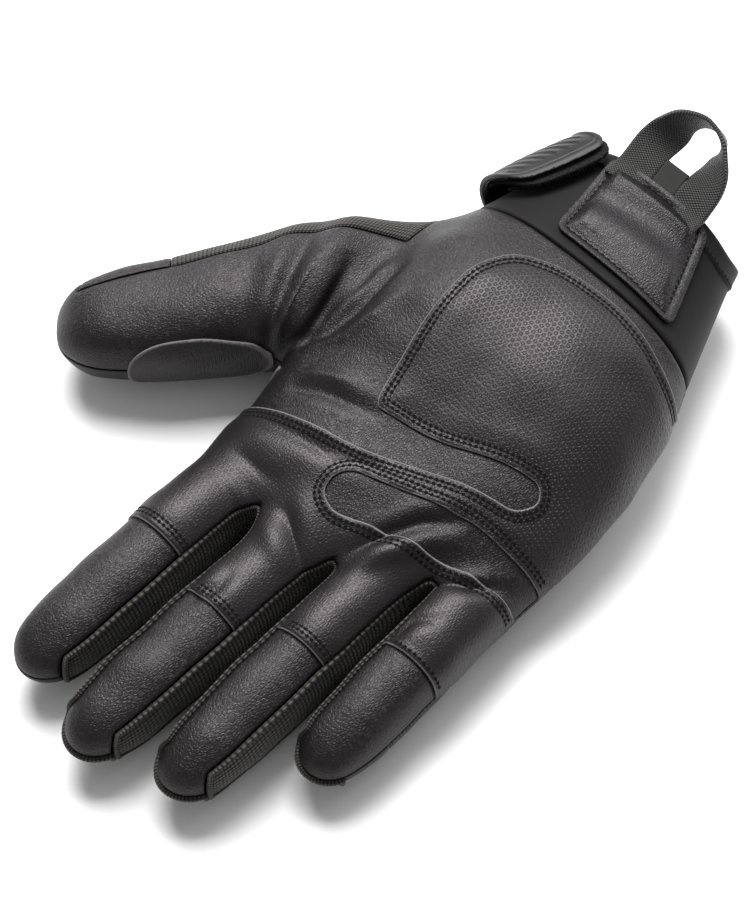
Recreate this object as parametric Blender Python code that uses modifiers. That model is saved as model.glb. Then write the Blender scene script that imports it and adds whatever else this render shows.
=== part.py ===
"""A right-hand work glove, lying palm up: a hollow shell of leather and knit, a short wrist cuff with a
wrap-over closure tab, a leather pull patch and a webbing pull loop. Metres, +Z up, +Y towards the fingertips,
+X towards the thumb. The origin is on the flat of the back of the hand, where the glove rests.

The hand and cuff are one coarse cage, smoothed by Subdivision Surface. Each face of the cage carries the
number of its panel, and each panel is cut out of the smooth surface and given its own wall."""

import math

import bmesh
import bpy
from mathutils import Matrix, Vector
from mathutils.bvhtree import BVHTree

# Driving dimensions of the hand
PALM_LENGTH = 0.1115      # wrist seam to the crotches of the middle finger
PALM_WIDTH = 0.0985       # across the knuckles
WRIST_BEHIND = 0.0755     # wrist seam, behind the origin
ULNAR_EDGE = 0.0615       # little-finger edge of the knuckles, beside the origin
PALM_HEIGHT = 0.0430      # floor to the crown of the heel of the hand
FINGER_HEIGHT = 0.0270    # floor to the crown of a finger at its root
THUMB_LENGTH = 0.0880     # thumb root to thumb tip
THUMB_WIDTH = 0.0330      # across the thumb, at its last joint
THUMB_HEIGHT = 0.0310     # floor to the crown of the thumb

# Driving dimensions of the cuff and what is sewn to it
CUFF_LENGTH = 0.0400      # wrist seam to rim, on the palm side
CUFF_BACK_LONGER = 0.0060 # the back of the cuff reaches this much further than the palm side
CUFF_WIDTH = 0.0580       # across the rim
CUFF_SHIFT = -0.0015      # the middle of the rim, beside the origin
PATCH_WIDTH = 0.0440      # at its wrist end
PATCH_RIM_WIDTH = 0.0360  # at its rim end
PATCH_LENGTH = 0.0325
PATCH_SHIFT = -0.0130     # the middle of the patch's wrist end, beside the origin
PATCH_RIM_SHIFT = -0.0030 # the middle of its rim end
PATCH_FROM_SEAM = 0.0055
PATCH_CORNER = 0.0040
TAB_LENGTH = 0.0310       # along the arm
TAB_WIDTH = 0.0365        # round the cuff
TAB_CORNER = 0.0060
TAB_FROM_SEAM = 0.0095
TAB_OVER = 0.0140         # part of the width that lies above the cuff's mid height, at the wrist
TAB_SLANT = 0.0035        # how much more of it does at the rim
TAB_TURN = 12.0           # degrees that the tab's middle looks up
TAB_BULGE = 0.0036        # extra height of the tab's bend over the cuff
TAB_STANDS_OFF = 0.0010   # extra height of its free edge
HOOK_WIDTH = 0.0170       # round the cuff, from the free edge
PAD_MARGIN = 0.0045       # the pile pad ends this far inside the tab, the hook pad half as far
WEBBING_WIDTH = 0.0120
LOOP_LEGS_APART = 0.0205  # centre to centre
LOOP_LEG = 0.0140         # each leg, past the rim
LOOP_ARCH = 0.0076        # height of the arch over the legs
LOOP_ARCH_WIDTH = 0.0168  # centre to centre, where the legs have drawn together
LOOP_RISE = 29.0          # degrees that the loop stands up from the cuff
LOOP_LIFT = 0.0011        # the webbing's middle lies this far over the highest point under it
LABEL_WIDTH = 0.0065
LABEL_LENGTH = 0.0060

# Walls and clearances
LEATHER = 0.0015
KNIT = 0.0014
NEOPRENE = 0.0024
OVERLAY = 0.0009
PATCH = 0.0016
PILE = 0.0007
HOOK = 0.0009
TAB = 0.0020
WEBBING = 0.0013
LABEL = 0.0008
CUFF_SUNK = 0.0006        # the cuff lies this much below the leather
SEAM_GAP = 0.0003         # between neighbouring panels
LAYER_GAP = 0.0003        # between a layer and what it is sewn on

# Panels of the shell, by the number that a cage face carries
PALM, BACK, CUFF, HEM = range(4)
BETWEEN = {"index_middle": 4, "middle_ring": 5, "ring_little": 6}
NAIL = {"thumb": 7, "index": 8, "middle": 9, "ring": 10, "little": 11}
TIP = {"index": 12, "middle": 13, "ring": 14, "little": 15}
PANELS = 16

# The nine lines that run from the wrist to the finger roots, little-finger edge first. Even lines end
# between two fingers. across is a share of PALM_WIDTH, along a share of PALM_LENGTH.
LINES = [  # across, along
    (0.000, 0.690),
    (0.113, 0.765),
    (0.234, 0.838),
    (0.340, 0.918),
    (0.455, 0.975),
    (0.588, 1.000),
    (0.720, 0.990),
    (0.858, 0.965),
    (1.000, 0.915),
]

# Cross sections of the palm, wrist first. ulnar and radial are the edges as shares of PALM_WIDTH, crown,
# waist and under the heights of the top, the widest point and the underside as shares of PALM_HEIGHT.
PALM_ROWS = [  # along, ulnar, radial, crown, waist, under
    (0.000, 0.130, 1.010, 1.000, 0.500, 0.100),
    (0.090, 0.095, 1.060, 1.050, 0.490, 0.040),
    (0.210, 0.065, 1.055, 1.070, 0.475, -0.015),
    (0.370, 0.035, 1.045, 1.030, 0.450, -0.040),
    (0.530, 0.010, 1.045, 0.940, 0.415, -0.045),
    (0.690, 0.000, 1.045, 0.870, 0.390, -0.045),
    (0.840, -0.005, 1.035, 0.790, 0.360, -0.040),
    (1.000, -0.005, 1.005, 0.680, 0.330, 0.010),
]
THUMB_FIRST_ROW, THUMB_LAST_ROW = 1, 5

# Soft hollows and swells of the palm. across and along as above, radius a share of PALM_WIDTH, rise a
# share of PALM_HEIGHT.
SWELLS = [  # across, along, radius, rise
    (0.800, 0.330, 0.260, 0.110),
    (0.250, 0.330, 0.220, 0.040),
    (0.540, 0.560, 0.200, -0.100),
    (0.234, 0.850, 0.070, -0.130),
    (0.455, 0.960, 0.070, -0.130),
    (0.720, 0.970, 0.070, -0.130),
]

# Cross sections of the cuff from the rim to the wrist seam. along is a share of the cuff's length from
# the wrist seam, width a share of CUFF_WIDTH, crown, waist and under shares of PALM_HEIGHT.
CUFF_ROWS = [  # along, width, shift, crown, waist, under
    (1.00, 1.000, 1.00, 0.960, 0.560, 0.170),
    (0.87, 1.065, 1.00, 0.950, 0.550, 0.160),
    (0.50, 1.290, 1.30, 0.940, 0.520, 0.130),
]

# The fingers: the first of the three lines that each grows from, its tip, its widths, how much of its
# height is left at the tip, and its cross seam. Tip across and along are shares of the palm, widths of
# PALM_WIDTH, seam of the finger's length.
FINGERS = {  # line, tip across, tip along, root width, tip width, crown at tip, seam
    "little": (0, 0.080, 1.412, 0.240, 0.226, 0.86, 0.435),
    "ring": (2, 0.313, 1.685, 0.260, 0.242, 0.90, 0.355),
    "middle": (4, 0.578, 1.770, 0.266, 0.250, 0.92, 0.365),
    "index": (6, 0.850, 1.717, 0.268, 0.256, 0.94, 0.345),
}
# Cross sections of a finger: along a share of its length, width a share of its own width, crown and
# under shares of FINGER_HEIGHT. The one at the cross seam takes its place from the table above.
FINGER_ROWS = [  # along, width, crown, under
    (0.090, 0.890, 1.030, 0.040),
    (0.380, 1.000, 1.070, 0.060),
    (0.660, 1.000, 1.040, 0.090),
    (0.905, 0.880, 0.920, 0.150),
]
FINGER_CAP = (1.020, 0.520)   # along, height of the tip
FINGER_WAIST = 0.48           # widest point, as a share of the way up from the underside
SEAM_ROW = 1                  # the overlay ends at this section of each finger
NAIL_ROW = 2                  # the nail leather starts at this one

# The thumb grows from the palm's edge. Each of its cross sections, drawn in the thumb's own directions
# from its root, runs from an outer to an inner point: along a share of THUMB_LENGTH, out a share of
# THUMB_WIDTH. The first sections fan out from the crotch, and their crowns rise and fall as its folds.
THUMB_ROOT = (1.045, 0.365)   # across, along the palm
THUMB_LINE = (0.5604, 0.6000) # how far across and along the palm the thumb runs to its tip
THUMB_ROWS = [  # outer along, outer out, inner along, inner out, crown, waist, under
    (-0.150, -0.700, 0.285, 0.570, 1.230, 0.600, 0.050),
    (-0.040, -0.770, 0.298, 0.555, 1.330, 0.590, 0.050),
    (0.065, -0.800, 0.318, 0.545, 1.110, 0.580, 0.060),
    (0.165, -0.780, 0.350, 0.535, 1.260, 0.570, 0.060),
    (0.280, -0.720, 0.400, 0.530, 1.080, 0.560, 0.080),
    (0.420, -0.640, 0.490, 0.530, 1.150, 0.540, 0.110),
    (0.600, -0.570, 0.620, 0.535, 1.030, 0.530, 0.140),
    (0.780, -0.520, 0.785, 0.520, 0.990, 0.530, 0.160),
    (0.925, -0.420, 0.925, 0.410, 0.900, 0.530, 0.210),
]
THUMB_CAP = (1.030, 0.340, 0.520)  # along, half width of its row of points, height
THUMB_NAIL_ROW = 6            # the nail leather starts at this one

PALM_CORNER = 0.93            # the edge lines stand this far out on a palm or cuff section
FINGER_COLUMNS = (-0.80, 0.00, 0.80)           # the lines along a finger, from -1 to 1 across it
THUMB_COLUMNS = (-0.88, -0.56, -0.03, 0.46, 0.88)
SIDE_DROP = 0.70              # how high the edge lines of a finger stand between waist and crown
PALM_ARCH = 3.0               # exponents of the arch over a section: more is flatter
CUFF_ARCH = 2.3
FINGER_ARCH = 2.2

CORNER_LIMIT = 0.5            # a panel's corner is drawn in by at most 1 / this times the gap
OVERLAY_CORNER = 0.0050       # cut off each corner of the overlay's outline
THUMB_PATCH_CORNER = 0.0066
CORNER_SHARE = 0.45           # a corner's cut takes at most this share of the sides beside it
OUTLINE_TOP = 0.0860          # the outlines of the layers are cut down from this height
SHARP_EDGE = 40.0             # degrees from which an edge is drawn sharp
WELD = 1e-6                   # points closer than this are one
LEG_STEPS = 6                 # stretches of the pull loop's leg and of its arch
ARCH_STEPS = 14
LOOP_TWIST = (0.07, 0.34)     # the loop turns on edge between these shares of its stretches
HEM_MIDDLE = 0.94             # the middle of the hem, as a share of the cuff's length
TAB_SEWN = 0.30               # the tab is sewn down up to this share of its width
TAB_BEND = 0.62               # its bend, as a share of its width from the same end

# The overlay's outline on the palm: an S that leaves two tongues of smooth leather bare.
OVERLAY_OUTLINE = [  # across, along
    (-0.20, 0.070), (0.10, 0.070), (0.284, 0.030), (0.435, 0.022), (0.590, 0.040),
    (0.716, 0.096), (0.764, 0.208), (0.750, 0.369), (0.690, 0.600), (0.670, 0.632),
    (0.479, 0.602), (0.265, 0.522), (0.177, 0.505), (0.145, 0.540), (0.175, 0.595),
    (0.326, 0.633), (0.504, 0.701), (0.636, 0.749), (0.899, 0.788), (1.130, 0.820), (1.130, 1.400),
    (-0.200, 1.400), (-0.200, 0.730), (0.114, 0.760), (0.358, 0.834), (0.542, 0.897),
    (0.600, 0.880), (0.610, 0.830), (0.581, 0.791), (0.471, 0.758), (0.236, 0.682), (-0.200, 0.640),
]
# The patch on the thumb's inner side: along a share of THUMB_LENGTH, out a share of THUMB_WIDTH.
THUMB_PATCH_OUTLINE = [  # along, out
    (0.340, 0.720), (0.290, 0.560), (0.390, 0.357), (0.530, 0.300), (0.660, 0.322), (0.760, 0.420),
    (0.830, 0.600), (0.840, 0.720),
]

COLOURS = {  # red, green, blue, roughness
    "leather": (0.022, 0.022, 0.024, 0.50),
    "textured_leather": (0.026, 0.025, 0.028, 0.46),
    "knit": (0.012, 0.012, 0.011, 0.85),
    "neoprene": (0.012, 0.010, 0.010, 0.70),
    "webbing": (0.012, 0.012, 0.012, 0.65),
    "rubber": (0.030, 0.029, 0.030, 0.45),
    "pile": (0.006, 0.006, 0.006, 0.95),
}


def clear_scene():
    for obj in list(bpy.data.objects):
        bpy.data.objects.remove(obj)


def material(name):
    made = bpy.data.materials.get(name)
    if made:
        return made
    red, green, blue, roughness = COLOURS[name]
    made = bpy.data.materials.new(name)
    made.use_nodes = True
    shader = made.node_tree.nodes["Principled BSDF"]
    shader.inputs["Base Color"].default_value = (red, green, blue, 1)
    shader.inputs["Roughness"].default_value = roughness
    shader.inputs["Metallic"].default_value = 0
    return made


def mix(a, b, share):
    return a + (b - a) * share


def plan(across, along):
    """The place on the floor plan that is these shares across and along the palm."""
    return Vector((across * PALM_WIDTH - ULNAR_EDGE, along * PALM_LENGTH - WRIST_BEHIND))


def arch(across, flatness):
    """Height of a section's top, from 0 at its edges to 1 in the middle, with across from -1 to 1."""
    return math.sqrt(max(0.0, 1 - abs(across) ** flatness))


def swell(x, y):
    """How much the palm stands above its plain section here."""
    total = 0.0
    for across, along, radius, rise in SWELLS:
        centre = plan(across, along)
        away = (Vector((x, y)) - centre).length / (radius * PALM_WIDTH)
        total += rise * PALM_HEIGHT * math.exp(-away * away)
    return total


def palm_section(row):
    """Top and under points on the nine lines, and the two waist points, of a palm section."""
    along, ulnar, radial, crown, waist, under = PALM_ROWS[row]
    left, right = plan(ulnar, 0).x, plan(radial, 0).x
    top, bottom, edges = [], [], []
    for line, (across, reach) in enumerate(LINES):
        share = mix(line / (len(LINES) - 1), across, along)
        side = max(-PALM_CORNER, min(PALM_CORNER, 2 * share - 1))
        x = mix(left, right, (side + 1) / 2)
        y = plan(0, reach * along).y
        rise = arch(side, PALM_ARCH)
        z = PALM_HEIGHT * mix(waist, crown, rise) + swell(x, y)
        top.append(Vector((x, y, z)))
        bottom.append(Vector((x, y, PALM_HEIGHT * mix(waist, under, rise))))
    for x, place in ((left, top[0]), (right, top[-1])):
        edges.append(Vector((x, place.y, PALM_HEIGHT * waist)))
    return top, bottom, edges


def cuff_section(row):
    """The same points for a section of the cuff. The back reaches further than the palm side."""
    along, width, shift, crown, waist, under = CUFF_ROWS[row]
    half = width * CUFF_WIDTH / 2
    centre = shift * CUFF_SHIFT
    top, bottom, edges = [], [], []
    for line in range(len(LINES)):
        side = max(-PALM_CORNER, min(PALM_CORNER, 2 * line / (len(LINES) - 1) - 1))
        x = centre + side * half
        rise = arch(side, CUFF_ARCH)
        reach = along * CUFF_LENGTH
        top.append(Vector((x, -WRIST_BEHIND - reach, PALM_HEIGHT * mix(waist, crown, rise))))
        reach = along * (CUFF_LENGTH + CUFF_BACK_LONGER)
        bottom.append(Vector((x, -WRIST_BEHIND - reach, PALM_HEIGHT * mix(waist, under, rise))))
    for side in (-1, 1):
        reach = along * (CUFF_LENGTH + CUFF_BACK_LONGER / 2)
        edges.append(Vector((centre + side * half, -WRIST_BEHIND - reach, PALM_HEIGHT * waist)))
    return top, bottom, edges


class Cage:
    """The coarse mesh of the hand, whose faces carry the numbers of their panels."""

    def __init__(self):
        self.mesh = bmesh.new()

    def points(self, places):
        return [self.mesh.verts.new(place) for place in places]

    def face(self, corners, panel):
        self.mesh.faces.new(corners).material_index = panel

    def strip(self, first, second, panels):
        """Faces between two rows of points, one panel number for each."""
        for i, panel in enumerate(panels):
            if panel is not None:
                self.face((first[i], first[i + 1], second[i + 1], second[i]), panel)


def section_ring(top, bottom, left, right):
    """A section's points in one open row: from the left waist over the top to the right waist, and
    from the right waist under the bottom back to the left waist."""
    return [left, *top, right, *reversed(bottom), left]


def tube_points(cage, outer, inner, heights, columns):
    """Points of a finger or thumb section: its top, its underside and its two waist points."""
    crown, waist, under = heights
    top, bottom = [], []
    for column in columns:
        spot = outer.lerp(inner, (column + 1) / 2)
        edge = abs(column) / max(columns)
        rise = math.sqrt(1 - (1 - SIDE_DROP * SIDE_DROP) * min(1.0, edge) ** FINGER_ARCH)
        top.append(Vector((spot.x, spot.y, mix(waist, crown, rise))))
        bottom.append(Vector((spot.x, spot.y, mix(waist, under, rise))))
    edges = [Vector((spot.x, spot.y, waist)) for spot in (outer, inner)]
    return cage.points(top), cage.points(bottom), cage.points(edges)


def close_tip(cage, top, bottom, edges, middle_places, upper_panel, lower_panel):
    """Closes a tube's end with a row of points between its top and its underside."""
    middle = [edges[0], *cage.points(middle_places), edges[1]]
    for i in range(len(top) - 1):
        cage.face((top[i], top[i + 1], middle[i + 1], middle[i]), upper_panel)
        cage.face((middle[i], middle[i + 1], bottom[i + 1], bottom[i]), lower_panel)


def finger_panels(name, row):
    """Panels round one stretch of a finger, from its little-finger side over the top and back under."""
    front = PALM if row <= SEAM_ROW else TIP[name]
    behind = NAIL[name] if row > NAIL_ROW else BACK
    ulnar = {"ring": "ring_little", "middle": "middle_ring", "index": "index_middle"}.get(name)
    radial = {"little": "ring_little", "ring": "middle_ring", "middle": "index_middle"}.get(name)
    upper_left, lower_left = (BETWEEN[ulnar],) * 2 if ulnar else (front, behind)
    upper_right, lower_right = (BETWEEN[radial],) * 2 if radial else (front, behind)
    return [upper_left, front, front, upper_right, lower_right, behind, behind, lower_left]


def add_finger(cage, name, root_top, root_bottom, root_edges):
    line, tip_across, tip_along, root_width, tip_width, tip_height, seam = FINGERS[name]
    root = (root_edges[0].co.xy + root_edges[1].co.xy) / 2
    tip = plan(tip_across, tip_along)
    run = tip - root
    side = Vector((run.y, -run.x)).normalized()
    last = root_top, root_bottom, root_edges
    for row, (along, width, crown, under) in enumerate(FINGER_ROWS):
        along = seam if row == SEAM_ROW else along
        half = side * width * mix(root_width, tip_width, along) * PALM_WIDTH / 2
        centre = root + run * along
        crown *= mix(1.0, tip_height, along)
        heights = [FINGER_HEIGHT * share for share in (crown, mix(under, crown, FINGER_WAIST), under)]
        made = tube_points(cage, centre - half, centre + half, heights, FINGER_COLUMNS)
        first = section_ring(last[0], last[1], *last[2])
        second = section_ring(made[0], made[1], *made[2])
        cage.strip(first, second, finger_panels(name, row))
        last = made
    along, height = FINGER_CAP
    spot = root + run * along
    pairs = {"middle": "index_middle", "ring": "middle_ring", "little": "ring_little"}
    close_tip(cage, *last, [Vector((spot.x, spot.y, FINGER_HEIGHT * height))], TIP[name],
              BETWEEN[pairs[name]] if name in pairs else NAIL[name])


def thumb_axes():
    """The thumb's root, its direction and the direction square to it, towards the fingers."""
    root = plan(*THUMB_ROOT)
    across, along = THUMB_LINE
    axis = (plan(THUMB_ROOT[0] + across, THUMB_ROOT[1] + along) - root).normalized()
    return root, axis, Vector((-axis.y, axis.x))


def thumb_place(along, out):
    root, axis, square = thumb_axes()
    return root + axis * along * THUMB_LENGTH + square * out * THUMB_WIDTH


def add_thumb(cage, root_top, root_bottom, root_edges):
    """The thumb grows from the edge line of the palm, one column for each palm row that it spans."""
    columns = len(THUMB_COLUMNS) - 1
    last = root_top, root_bottom, root_edges
    for row, (outer_along, outer_out, inner_along, inner_out, crown, waist, under) in enumerate(THUMB_ROWS):
        outer, inner = thumb_place(outer_along, outer_out), thumb_place(inner_along, inner_out)
        heights = [THUMB_HEIGHT * share for share in (crown, waist, under)]
        made = tube_points(cage, outer, inner, heights, THUMB_COLUMNS)
        behind = NAIL["thumb"] if row > THUMB_NAIL_ROW else BACK
        panels = [behind, behind, *[PALM] * columns, *[behind] * (columns + 2)]
        first = section_ring(last[0], last[1], *last[2])
        second = section_ring(made[0], made[1], *made[2])
        cage.strip(first, second, panels)
        last = made
    along, half, height = THUMB_CAP
    middle = []
    for column in THUMB_COLUMNS[1:-1]:
        spot = thumb_place(along, column / max(THUMB_COLUMNS) * half)
        middle.append(Vector((spot.x, spot.y, THUMB_HEIGHT * height)))
    close_tip(cage, *last, middle, PALM, NAIL["thumb"])


def hand_cage():
    cage = Cage()
    sections = [cuff_section(row) for row in range(len(CUFF_ROWS))]
    first_palm_row = len(sections)
    sections += [palm_section(row) for row in range(len(PALM_ROWS))]
    rows = [[cage.points(places) for places in section[:2]] for section in sections]
    thumb_rows = range(first_palm_row + THUMB_FIRST_ROW + 1, first_palm_row + THUMB_LAST_ROW)
    edges = []
    for number, section in enumerate(sections):
        left, right = section[2]
        right_point = None if number in thumb_rows else cage.points([right])[0]
        edges.append((cage.points([left])[0], right_point))
    count = len(LINES) - 1
    for number in range(len(sections) - 1):
        hem, cuff = number == 0, number < first_palm_row
        front = HEM if hem else CUFF if cuff else PALM
        behind = front if cuff else BACK
        thumb = first_palm_row + THUMB_FIRST_ROW <= number < first_palm_row + THUMB_LAST_ROW
        upper_right = None if thumb else front
        lower_right = None if thumb else behind
        if number == first_palm_row:
            upper_right = behind
        panels = [front, *[front] * count, upper_right, lower_right, *[behind] * count, behind]
        left, right = edges[number]
        left_next, right_next = edges[number + 1]
        first = section_ring(*rows[number], left, right)
        second = section_ring(*rows[number + 1], left_next, right_next)
        cage.strip(first, second, panels)
    add_thumb(
        cage,
        [rows[first_palm_row + row][0][-1] for row in range(THUMB_FIRST_ROW, THUMB_LAST_ROW + 1)],
        [rows[first_palm_row + row][1][-1] for row in range(THUMB_FIRST_ROW, THUMB_LAST_ROW + 1)],
        [edges[first_palm_row + row][1] for row in (THUMB_FIRST_ROW, THUMB_LAST_ROW)],
    )
    top, bottom = rows[-1]
    between = {}
    for line in (2, 4, 6):
        middle = (top[line].co + bottom[line].co) / 2
        between[line] = cage.points([middle])[0]
    between[0], between[8] = edges[-1]
    for name, (line, *_) in FINGERS.items():
        add_finger(cage, name, top[line:line + 3], bottom[line:line + 3], (between[line], between[line + 2]))
    bmesh.ops.recalc_face_normals(cage.mesh, faces=cage.mesh.faces)
    return cage.mesh


def smooth_hand():
    """The smooth surface: the cage subdivided, with its underside flat on the floor."""
    mesh = bpy.data.meshes.new("hand_cage")
    cage = hand_cage()
    cage.to_mesh(mesh)
    cage.free()
    obj = bpy.data.objects.new("hand_cage", mesh)
    for _ in range(PANELS):
        mesh.materials.append(material("leather"))
    bpy.context.scene.collection.objects.link(obj)
    rounding = obj.modifiers.new("rounding", "SUBSURF")
    rounding.levels = rounding.render_levels = 1
    bpy.context.view_layer.update()
    evaluated = obj.evaluated_get(bpy.context.evaluated_depsgraph_get())
    whole = bmesh.new()
    whole.from_mesh(bpy.data.meshes.new_from_object(evaluated))
    bpy.data.objects.remove(obj)
    for vert in whole.verts:
        vert.co.z = max(0.0, vert.co.z)
    bmesh.ops.triangulate(whole, faces=whole.faces)
    whole.normal_update()
    inward = whole.verts.layers.float_vector.new("inward")
    for vert in whole.verts:
        vert[inward] = -vert.normal
    return whole


def only(whole, panels):
    """A copy of the surface that holds only these panels."""
    part = whole.copy()
    other = [face for face in part.faces if face.material_index not in panels]
    bmesh.ops.delete(part, geom=other, context="FACES")
    return part


def draw_in(part, amount):
    """Moves the open border of a panel inwards along its surface, square to the border."""
    squares = {}
    for edge in part.edges:
        if edge.is_boundary:
            face = edge.link_faces[0]
            run = edge.verts[1].co - edge.verts[0].co
            square = run.cross(face.normal).normalized()
            if square.dot(face.calc_center_median() - edge.verts[0].co) < 0:
                square.negate()
            for vert in edge.verts:
                squares.setdefault(vert, []).append(square)
    for vert, found in squares.items():
        mean = sum(found, Vector()) / len(found)
        vert.co += mean.normalized() * amount / max(CORNER_LIMIT, mean.length)


def wall(part, outside, inside):
    """Turns an open surface into a closed wall between these two heights above it."""
    inward = part.verts.layers.float_vector["inward"]
    border = [edge for edge in part.edges if edge.is_boundary]
    copied = bmesh.ops.duplicate(part, geom=part.verts[:] + part.edges[:] + part.faces[:])["geom"]
    lower_verts = {item for item in copied if isinstance(item, bmesh.types.BMVert)}
    lower_faces = [item for item in copied if isinstance(item, bmesh.types.BMFace)]
    edge_made = bmesh.ops.extrude_edge_only(part, edges=border)["geom"]
    rim_verts = {item for item in edge_made if isinstance(item, bmesh.types.BMVert)}
    for vert in part.verts:
        height = inside if vert in lower_verts or vert in rim_verts else outside
        vert.co -= vert[inward] * height
    bmesh.ops.reverse_faces(part, faces=lower_faces)
    bmesh.ops.remove_doubles(part, verts=part.verts, dist=WELD)
    bmesh.ops.recalc_face_normals(part, faces=part.faces)
    return part


def place(name, mesh_data, finish, collection):
    """Makes the node from a bmesh."""
    mesh = bpy.data.meshes.new(name)
    mesh_data.to_mesh(mesh)
    mesh_data.free()
    mesh.materials.clear()
    mesh.materials.append(material(finish))
    for polygon in mesh.polygons:
        polygon.material_index = 0
    mesh.shade_smooth()
    mesh.set_sharp_from_angle(angle=math.radians(SHARP_EDGE))
    obj = bpy.data.objects.new(name, mesh)
    collection.objects.link(obj)
    return obj


def panel(whole, name, panels, thickness, finish, collection, sink=0.0):
    part = only(whole, panels)
    draw_in(part, SEAM_GAP / 2)
    return place(name, wall(part, -sink, -sink - thickness), finish, collection)


def outline_prism(name, corners, low, high, frame, cutters):
    """A closed outline drawn on the plan of a frame, as a solid between two heights. A cutter."""
    curve = bpy.data.curves.new(name, "CURVE")
    curve.dimensions = "2D"
    curve.fill_mode = "BOTH"
    curve.extrude = (high - low) / 2
    spline = curve.splines.new("POLY")
    spline.points.add(len(corners) - 1)
    for point, (x, y) in zip(spline.points, corners):
        point.co = (x, y, 0, 1)
    spline.use_cyclic_u = True
    drawn = bpy.data.objects.new(name + "_outline", curve)
    bpy.context.scene.collection.objects.link(drawn)
    bpy.context.view_layer.update()
    mesh = bpy.data.meshes.new_from_object(drawn.evaluated_get(bpy.context.evaluated_depsgraph_get()))
    bpy.data.objects.remove(drawn)
    welded = bmesh.new()
    welded.from_mesh(mesh)
    bmesh.ops.remove_doubles(welded, verts=welded.verts, dist=WELD)
    bmesh.ops.translate(welded, verts=welded.verts, vec=(0, 0, (low + high) / 2))
    bmesh.ops.transform(welded, verts=welded.verts, matrix=frame)
    bmesh.ops.recalc_face_normals(welded, faces=welded.faces)
    welded.to_mesh(mesh)
    welded.free()
    cutter = bpy.data.objects.new(name, mesh)
    cutter.hide_render = True
    cutter.display_type = "WIRE"
    cutters.objects.link(cutter)
    return cutter


def rounded(corners, radius, steps):
    """A closed outline with each corner replaced by an arc that cuts this much off it."""
    made = []
    count = len(corners)
    for i, corner in enumerate(corners):
        corner = Vector(corner)
        before, after = Vector(corners[i - 1]), Vector(corners[(i + 1) % count])
        cut = min(radius, (before - corner).length * CORNER_SHARE, (after - corner).length * CORNER_SHARE)
        start = corner + (before - corner).normalized() * cut
        end = corner + (after - corner).normalized() * cut
        for step in range(steps + 1):
            share = step / steps
            made.append(start.lerp(corner, share).lerp(corner.lerp(end, share), share))
    return made


def layer(whole, name, panels, lift, thickness, finish, cutter, collection, stand_off=None):
    """A layer sewn on these panels and cut to the shape of the cutter. stand_off gives a vertex's extra
    height over the panel."""
    part = only(whole, panels)
    draw_in(part, SEAM_GAP / 2)
    inward = part.verts.layers.float_vector["inward"]
    for vert in part.verts:
        if stand_off:
            vert.co -= vert[inward] * stand_off(vert.co)
    obj = place(name, wall(part, lift + thickness, lift), finish, collection)
    keep = obj.modifiers.new("outline", "BOOLEAN")
    keep.operation = "INTERSECT"
    keep.solver = "EXACT"
    keep.object = cutter
    return obj


def flat_frame(origin, x_axis):
    """A frame that lies on the floor plan, with this X axis."""
    return Matrix((
        (x_axis.x, -x_axis.y, 0, origin.x),
        (x_axis.y, x_axis.x, 0, origin.y),
        (0, 0, 1, 0),
        (0, 0, 0, 1),
    ))


def palm_overlay(whole, glove, cutters):
    corners = [plan(across, along) for across, along in OVERLAY_OUTLINE]
    keep = outline_prism("overlay_outline", rounded(corners, OVERLAY_CORNER, 2), 0, OUTLINE_TOP,
                         Matrix.Identity(4), cutters)
    layer(whole, "palm_overlay", {PALM}, LAYER_GAP, OVERLAY, "textured_leather", keep, glove)


def thumb_patch(whole, glove, cutters):
    root, axis, square = thumb_axes()
    corners = [(along * THUMB_LENGTH, out * THUMB_WIDTH) for along, out in THUMB_PATCH_OUTLINE]
    keep = outline_prism("thumb_patch_outline", rounded(corners, THUMB_PATCH_CORNER, 3), 0, OUTLINE_TOP,
                         flat_frame(root, axis), cutters)
    layer(whole, "thumb_patch", {PALM}, LAYER_GAP, OVERLAY, "textured_leather", keep, glove)


def wrist_patch(whole, glove, cutters):
    near = -WRIST_BEHIND - PATCH_FROM_SEAM
    far = near - PATCH_LENGTH
    corners = [
        (PATCH_SHIFT - PATCH_WIDTH / 2, near),
        (PATCH_SHIFT + PATCH_WIDTH / 2, near),
        (PATCH_RIM_SHIFT + PATCH_RIM_WIDTH / 2, far),
        (PATCH_RIM_SHIFT - PATCH_RIM_WIDTH / 2, far),
    ]
    keep = outline_prism("wrist_patch_outline", rounded(corners, PATCH_CORNER, 4), PALM_HEIGHT / 2,
                         OUTLINE_TOP, Matrix.Identity(4), cutters)
    layer(whole, "wrist_patch", {CUFF, HEM}, LAYER_GAP, PATCH, "leather", keep, glove)


def tab_frame():
    """The frame of the closure tab: X towards the fingers, Y round the cuff to the palm side, Z out."""
    turn = math.radians(TAB_TURN)
    around = Vector((-math.sin(turn), 0, math.cos(turn)))
    out = Vector((math.cos(turn), 0, math.sin(turn)))
    origin = Vector((CUFF_SHIFT, -WRIST_BEHIND - TAB_FROM_SEAM, PALM_HEIGHT / 2))
    return Matrix((
        (0, around.x, out.x, origin.x),
        (1, around.y, out.y, origin.y),
        (0, around.z, out.z, origin.z),
        (0, 0, 0, 1),
    ))


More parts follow.
